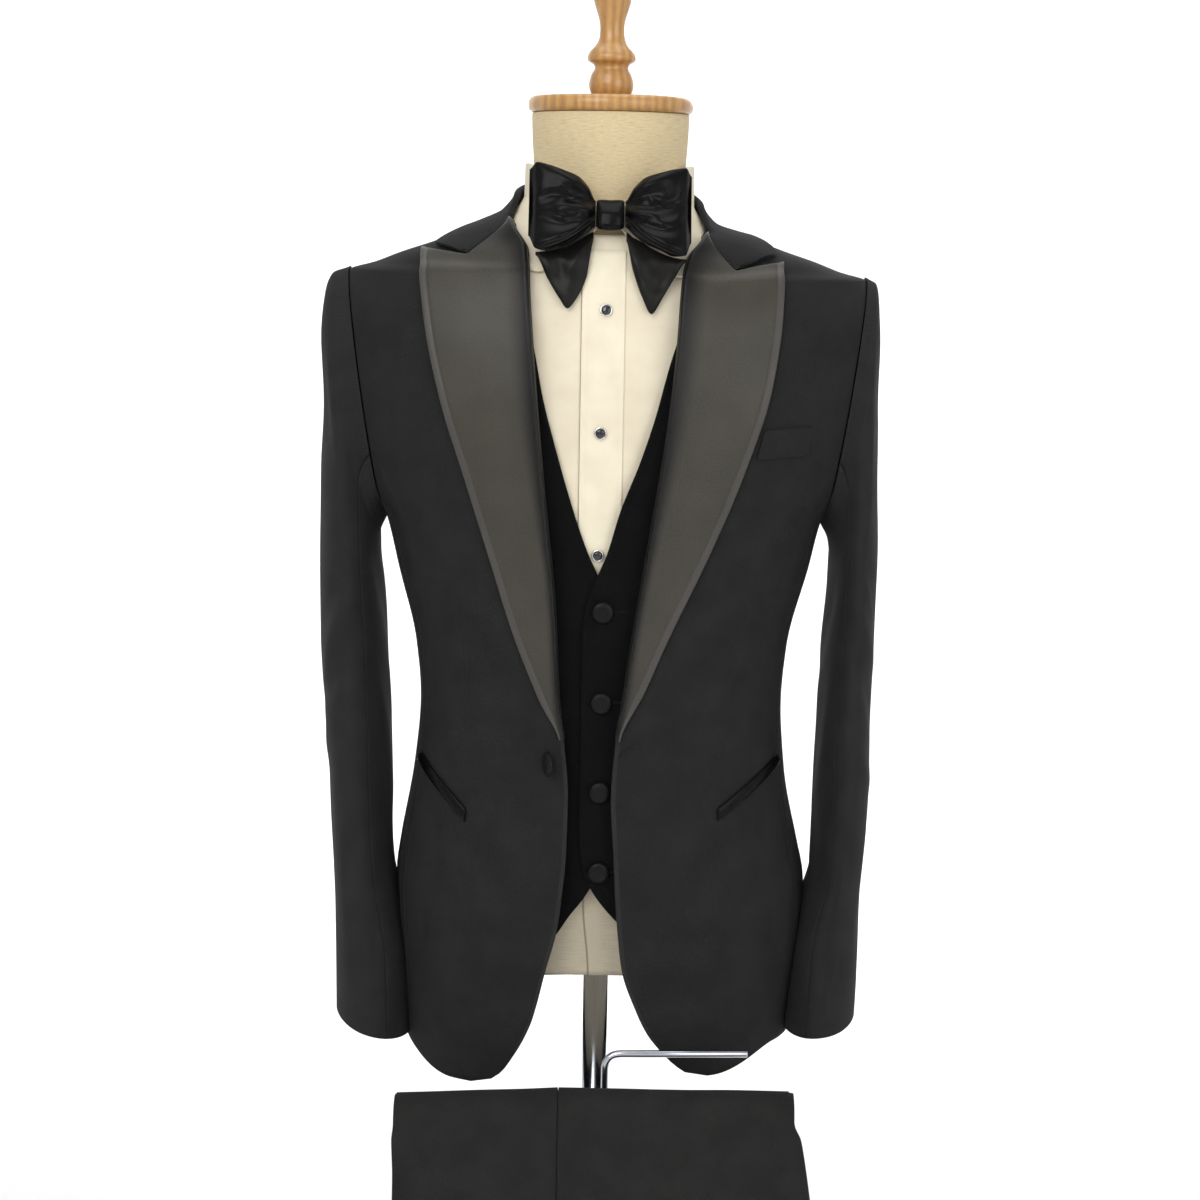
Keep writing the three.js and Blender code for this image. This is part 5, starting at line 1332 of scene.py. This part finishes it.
def build_bow_part(name, side, sizes, x_range, ahead, rows, look, slot="gloss_satin"):
    x = np.linspace(*x_range, BOW_COLUMNS)[:, None]
    size = sizes(x)
    phi = np.radians(np.arange(BOW_SIDES) * 360 / BOW_SIDES)[None, :]
    c, s = np.cos(phi), np.sin(phi)
    # the outline is a little squarer than an oval, so that its edges are turned, not blunt
    z = (size["top"] + size["low"]) / 2 + (size["top"] - size["low"]) / 2 * np.sign(c) * np.abs(c) ** 0.9
    front = np.clip(s, 0, 1)
    relief = folds(rows, np.broadcast_to(x, z.shape), z) * smooth(0.05, 0.5, front)
    depth = (size["thick"] / 2) * (1 + s) + relief
    y = bow_back(z) - ahead(z) - np.maximum(depth, 0.2 * (1 + s))
    rings = np.stack([side * np.broadcast_to(x, z.shape), y, z], axis=-1)
    piece = loft(f"{name}_cloth", rings, [look])
    return keep(piece, slot, [name], "padded", fill=0.5)


def build_bow():
    def over_tails(z):
        return 2 + 6 * (1 - smooth(1452, 1482, z))

    def on_shirt(z):
        return 0.6 - 4 * (1 - smooth(1425, 1445, z))

    for name, side in SIDES.items():
        wing_range = (11.2, 66.3) if name == "right" else (13.2, 67.8)
        build_bow_part(f"bow_wing_{name}", side, WING[name], wing_range, over_tails, WING_FOLDS[name],
                       BOW_LOOK)
        tail_range = (12.5, 60) if name == "right" else (14.5, 64)
        build_bow_part(f"bow_tail_{name}", side, TAIL[name], tail_range, on_shirt, TAIL_FOLDS[name],
                       TAIL_PAINTED_SHEEN_LOOK)
    build_bow_part("bow_knot", 1, KNOT, (-10.6, 12.6), lambda z: 0.6 + 0 * z, KNOT_FOLDS, BOW_LOOK)


# Trousers
RAIL = {"y": -165, "z": 736, "radius": 5, "cover": 17.4}
TROUSER_SEAM = -30
FRONT_HEM = 412
BAND_DEPTH = 40
LEG_HEM = 55
FLAP_FRONT = table(("drop", "left", "right"), [
    (0, 167, 167.5), (15, 168.4, 173.5), (30, 168, 176.5), (48, 167.5, 179.5), (110, 168, 189),
    (150, 168, 196), (230, 168, 205),
    (290, 167, 192), (330, 166, 172),
])
FLAP_BACK = table(("drop", "left", "right"), [
    (0, 166, 164), (100, 158, 150), (200, 142, 134), (330, 122, 122), (500, 112, 112), (690, 104, 104),
])
TROUSER_FOLDS = [
    (-120, -60, -110, -260, 6, 16, 1.2), (-70, -40, -62, -200, -5, 14, -1.2), (20, -50, 34, -280, 7, 18, 1.4),
    (80, -40, 96, -220, -6, 15, -1.3), (130, -80, 152, -290, 5, 13, 1.1), (-10, -30, -4, -160, 4, 12, -0.9),
    (-90, 80, -80, 420, 8, 16, 1.2), (-20, 120, -28, 520, -7, 15, -1.3), (50, 90, 44, 480, 7, 17, 1.3),
    (100, 60, 84, 300, -6, 13, -1.0), (0, 420, 6, 680, 5, 14, 0.9), (-60, 380, -56, 660, -5, 13, -0.9),
]


def hang_point(run, radius):
    quarter = (math.pi / 2) * radius
    angle = np.clip(run / radius, -math.pi / 2, math.pi / 2)
    below = np.maximum(np.abs(run) - quarter, 0)
    y = RAIL["y"] + radius * np.sin(angle)
    z = RAIL["z"] + radius * np.cos(angle) - below
    return y, z, np.sin(angle), np.cos(angle), below


RAIL_SLOPE = 0.05


def sag(x):
    return RAIL_SLOPE * np.minimum(x - TROUSER_SEAM, 0)


def trouser_sheet(name, runs, columns, share, look, phase, piece_name, slot="wool"):
    outer = RAIL["cover"] + 2
    run = runs[:, None]
    y, z, ny, nz, drop = hang_point(run, outer)
    front, back = FLAP_FRONT(drop), FLAP_BACK(drop)
    left = np.where(run < 0, front["left"], back["left"])
    right = np.where(run < 0, front["right"], back["right"])
    x = share(columns[None, :], left, right)
    run = np.broadcast_to(run, x.shape)
    y, z, ny, nz, drop = hang_point(run, outer)
    low = sag(x) * (1 - smooth(0, 90, drop))
    point = np.stack([x, y, z + low], axis=-1)
    normal = np.stack([np.zeros_like(x), ny, nz], axis=-1)
    relief = folds(TROUSER_FOLDS, x, run) * smooth(20, 60, drop) + uneven(x, run, 0.45, phase)
    cols = np.linspace(0, 1, x.shape[1])[None, :]
    relief = np.clip(relief, -0.3, 3) * (0.25 + 0.75 * smooth(0, 0.08, cols) * (1 - smooth(0.92, 1, cols)))
    point = point + normal * relief[..., None]
    return cloth(piece_name, point, normal, np.stack([x, run], axis=-1), WOOL, [look], slot, [name], "folded",
                 ["trouser_rail"])


def build_trousers():
    outer = RAIL["cover"] + 2
    quarter = (math.pi / 2) * outer
    front_end = -(RAIL["z"] - FRONT_HEM - BAND_DEPTH) - quarter
    back_end = RAIL["z"] - LEG_HEM + quarter
    runs = np.concatenate([
        np.linspace(front_end, -quarter, 64), np.linspace(-quarter, quarter, 34)[1:],
        np.linspace(quarter, back_end, 120)[1:],
    ])
    trouser_sheet("trouser_front_right", runs, np.linspace(0, 1, 26),
                  lambda f, left, right: mix(-left, TROUSER_SEAM - GAP / 2, f), TROUSER_LOOK, 1.0,
                  "trouser_front_right_shell")
    trouser_sheet("trouser_back_right", runs, np.linspace(0, 1, 40),
                  lambda f, left, right: mix(TROUSER_SEAM + GAP / 2, right, f), TROUSER_LOOK, 2.2,
                  "trouser_back_right_shell")
    band = np.linspace(front_end - BAND_DEPTH, front_end - GAP, 14)
    trouser_sheet("trouser_waistband", band, np.linspace(0, 1, 50), lambda f, left, right: mix(-left, right, f),
                  TROUSER_LOOK, 3.0, "trouser_waistband_shell")
    inner = outer - WOOL - GAP
    inner_quarter = (math.pi / 2) * inner
    edge = np.array([(5, 0), (1.2, 1.2), (3.4, 2.4), (0.8, 3.6), (3.4, 4.8), (1.4, 6), (5, 7.2)])
    rings = []
    for k, run in enumerate(runs):
        hanging = abs(run) - quarter
        band_drop = BAND_DEPTH - 3 if k == 0 else 0
        reach = run * (inner / outer)
        if hanging > 0:
            reach = math.copysign(inner_quarter + hanging + band_drop, run)
        y, z, ny, nz, drop = hang_point(np.float64(reach), inner)
        width = FLAP_FRONT(drop) if run < 0 else FLAP_BACK(drop)
        left, right = float(width["left"]), float(width["right"])
        section = [(-left + inset, depth) for inset, depth in edge] + [(TROUSER_SEAM, 7.2)]
        section += [(right - inset, depth) for inset, depth in edge[::-1]] + [(TROUSER_SEAM, 0)]
        x, depth = np.array(section, float).T
        low = sag(x) * (1 - smooth(0, 90, drop))
        rings.append(np.stack([x, y - ny * depth, z - nz * depth + low], axis=-1))
    piece = loft("trouser_layers_fold", np.array(rings), [TROUSER_LOOK])
    keep(piece, "wool", ["trouser_layers"], "padded", fill=0.2)


# The dress form, its cap and its stand
def build_form():
    heights = np.concatenate([np.linspace(830, 1400, 110), np.linspace(1404, 1500, 60), np.linspace(1502, 1564.6, 24)])
    z = heights[:, None]
    u = (np.arange(180) * 2.0)[None, :]
    slim = 1 - FORM_SLACK * (1 - smooth(1500, 1560, z))
    seam_x = mix(-12, -7, smooth(897, 830, z))
    front_seam = angle_at(FORM, z, seam_x) % 360
    groove = np.zeros(np.broadcast(z, u).shape)
    for line in (front_seam, 90.0, 180.0, 270.0):
        apart = np.abs((u - line + 180) % 360 - 180) * ARC
        groove = groove + np.exp(-(apart / 1.6) ** 2)
    shown = 1 - smooth(1440, 1470, z)
    point, _ = on_body(FORM, np.broadcast_to(z, groove.shape), np.broadcast_to(u, groove.shape), -0.7 * groove * shown)
    rings = point * np.stack([slim[:, 0], slim[:, 0], np.ones(len(heights))], axis=-1)[:, None, :]
    piece = loft("form_torso_cover", settled(rings), [LINEN_LOOK])
    keep(piece, "linen", ["form_torso"], "padded", fill=1.0)


FINIAL = [
    (16, 1579.4), (18.5, 1585), (19, 1591), (17, 1598), (14.5, 1602.5), (15.5, 1606), (20, 1609), (20.5, 1613),
    (18.5, 1617), (12.5, 1624), (10.5, 1632), (11, 1642), (14, 1652), (16, 1660), (15, 1669), (10, 1676), (0.01, 1679),
]


def build_stand():
    cap = [
        (0.01, 1565), (63, 1565), (67, 1565.4), (69.6, 1567.2), (70.4, 1570), (70.5, 1572.5), (70, 1575),
        (68.6, 1577.4), (66, 1578.7), (60, 1579), (0.01, 1579),
    ]
    keep(turned("neck_cap_wood", cap, [WOOD_LOOK], 96), "wood", ["neck_cap"])
    profile = np.concatenate([[(0.01, 1579.4)], spline(FINIAL, 6)])
    keep(turned("finial_wood", profile, [WOOD_LOOK], 64), "wood", ["finial"])
    pole = [(0.01, 12.4), (11, 12.4), (11, 829.6), (0.01, 829.6)]
    keep(turned("pole_tube", pole, [CHROME_LOOK], 48), "chrome", ["pole"])
    base = [(0.01, 0), (198, 0), (200, 1.5), (200, 5), (199, 7), (196, 9), (60, 12), (0.01, 12)]
    keep(turned("stand_base_plate", base, [BASE_LOOK], 128), "chrome", ["stand_base"])


def add_tube(name, points, radius, bend, sides=24):
    """A rod along straight runs with rounded corners."""
    points = [np.asarray(p, float) for p in points]
    path, start = [points[0]], points[0]
    for k in range(1, len(points) - 1):
        into, onward = unit(points[k] - points[k - 1]), unit(points[k + 1] - points[k])
        before, after = points[k] - into * bend, points[k] + onward * bend
        path.append(before)
        for t in np.linspace(0, 1, 9)[1:]:
            path.append((1 - t) ** 2 * before + 2 * t * (1 - t) * points[k] + t * t * after)
    path.append(points[-1])
    path = np.array(path)
    ahead = unit(np.gradient(path, axis=0))
    across = np.array([0.0, 0, 1]) if abs(ahead[0][0]) > 0.7 else np.array([1.0, 0, 0])
    spin = np.radians(np.arange(sides) * 360 / sides)
    rings = []
    for place, d in zip(path, ahead):
        across = unit(across - d * np.dot(across, d))
        other = np.cross(d, across)
        rings.append(place + radius * (across * np.cos(spin)[:, None] + other * np.sin(spin)[:, None]))
    rings = np.array(rings)
    # rounded ends
    first, last = rings[0].mean(axis=0), rings[-1].mean(axis=0)
    start_cap = first + (rings[0] - first) * 0.8 - ahead[0] * 0.0
    end_cap = last + (rings[-1] - last) * 0.8
    rings[0], rings[-1] = rings[0] + ahead[0] * 0.5, rings[-1] - ahead[-1] * 0.5
    rings = np.concatenate([[start_cap], rings, [end_cap]])
    return loft(name, rings, [CHROME_LOOK])


CLAMP_Z = 480
CLAMP_CLEAR = 19.4


def build_rails():
    rail = add_tube("trouser_rail_tube", [
        (-CLAMP_CLEAR, 0, CLAMP_Z), (-150, 0, CLAMP_Z), (-150, RAIL["y"], CLAMP_Z),
        (-150, RAIL["y"], RAIL["z"] - 3.8), (150, RAIL["y"], RAIL["z"] + 4.2),
    ], RAIL["radius"], 14)
    keep(rail, "chrome", ["trouser_rail"])
    arm = add_tube("free_arm_tube", [
        (9, -18.6, CLAMP_Z), (9, -135, CLAMP_Z), (9, -135, 776), (130, -135, 778),
    ], 3.1, 14)
    keep(arm, "chrome", ["free_arm"])


build_form()
build_stand()
build_rails()
build_shirt()
build_waistcoat()
build_jacket_body()
build_lapels()
build_collar()
build_pockets()
build_sleeves()
build_buttons()
build_bow()
build_trousers()
add_buttonhole("buttonhole_jacket", JACKET, 16, 1031, 32, 1043, 1, 0.5, 0.7, THREAD_LOOK)
for number, level in enumerate((1153, 1075, 998, 929)):
    add_buttonhole(f"buttonhole_waistcoat_{number + 1}", FORM, 8, level, 20, level + 1, 1,
                   WAISTCOAT_OUT + WAISTCOAT_LAP, 0.5, HOLE_LOOK, keyhole=False)

# Carried-over nodes get the same looks
for node_name, look in (("pole_foot", CHROME_LOOK), ("rail_clamp", CHROME_LOOK)):
    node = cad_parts[node_name]
    node.data.materials.clear()
    node.data.materials.append(look)

# A round pale studio: a floor that curves up into a wall all round
STUDIO_RADIUS = 6.5
STUDIO_CURVE = 2.2
STUDIO_HEIGHT = 5.2


def build_studio():
    look = Look("studio", 0.9, Specular_IOR_Level=0.1)
    look.color(look.ramp(look.noise(look.place("Object", (1, 1, 1)), 2.0), [
        (0.4, (0.86, 0.86, 0.86)), (0.6, (0.88, 0.88, 0.88)),
    ]))
    flat = STUDIO_RADIUS - STUDIO_CURVE
    profile = [(0.001, 0.0), (1.0, 0.0), (2.5, 0.0), (flat, 0.0)]
    for angle in np.linspace(0, 90, 13)[1:]:
        profile.append((flat + STUDIO_CURVE * math.sin(math.radians(angle)),
                        STUDIO_CURVE * (1 - math.cos(math.radians(angle)))))
    profile.append((STUDIO_RADIUS, STUDIO_HEIGHT))
    turn = np.radians(np.arange(96) * 360 / 96)
    rings = np.array([[(r * math.cos(a), r * math.sin(a), z) for a in turn] for r, z in profile])
    index = np.arange(len(profile) * 96).reshape(len(profile), 96)
    onward = np.roll(index, -1, axis=1)
    quads = np.stack([index[:-1], onward[:-1], onward[1:], index[1:]], axis=-1).reshape(-1, 4)
    mesh = bpy.data.meshes.new("studio")
    mesh.from_pydata(rings.reshape(-1, 3).tolist(), [], quads.tolist())
    mesh.polygons.foreach_set("use_smooth", [True] * len(mesh.polygons))
    mesh.materials.append(look.material)
    studio = bpy.data.objects.new("studio", mesh)
    bpy.context.scene.collection.objects.link(studio)


build_studio()

LIGHTS = (
    # name, place, aimed at, size, watts
    ("key", (-1.5, -3.4, 3.3), (0, 0, 1.15), 2.6, 75),
    ("fill", (2.4, -3.0, 2.0), (0, 0, 1.1), 2.4, 34),
    ("top", (0, 0.4, 4.2), (0, 0, 1.2), 2.8, 40),
    ("back", (0.6, 3.4, 2.8), (0, 0, 1.2), 2.2, 25),
    ("wall", (0, 2.6, 3.4), (0, 6.5, 1.6), 2.6, 150),
)
for name, place, aim, size, watts in LIGHTS:
    lamp = bpy.data.lights.new(name, "AREA")
    lamp.size = size
    lamp.energy = watts
    lamp_object = bpy.data.objects.new(name, lamp)
    lamp_object.location = place
    lamp_object.rotation_euler = (Vector(aim) - Vector(place)).to_track_quat("-Z", "Y").to_euler()
    bpy.context.scene.collection.objects.link(lamp_object)

world = bpy.data.worlds.new("world")
world.use_nodes = True
world.node_tree.nodes["Background"].inputs["Color"].default_value = (1, 1, 1, 1)
world.node_tree.nodes["Background"].inputs["Strength"].default_value = 0.5
bpy.context.scene.world = world
bpy.context.scene.view_settings.view_transform = "Standard"
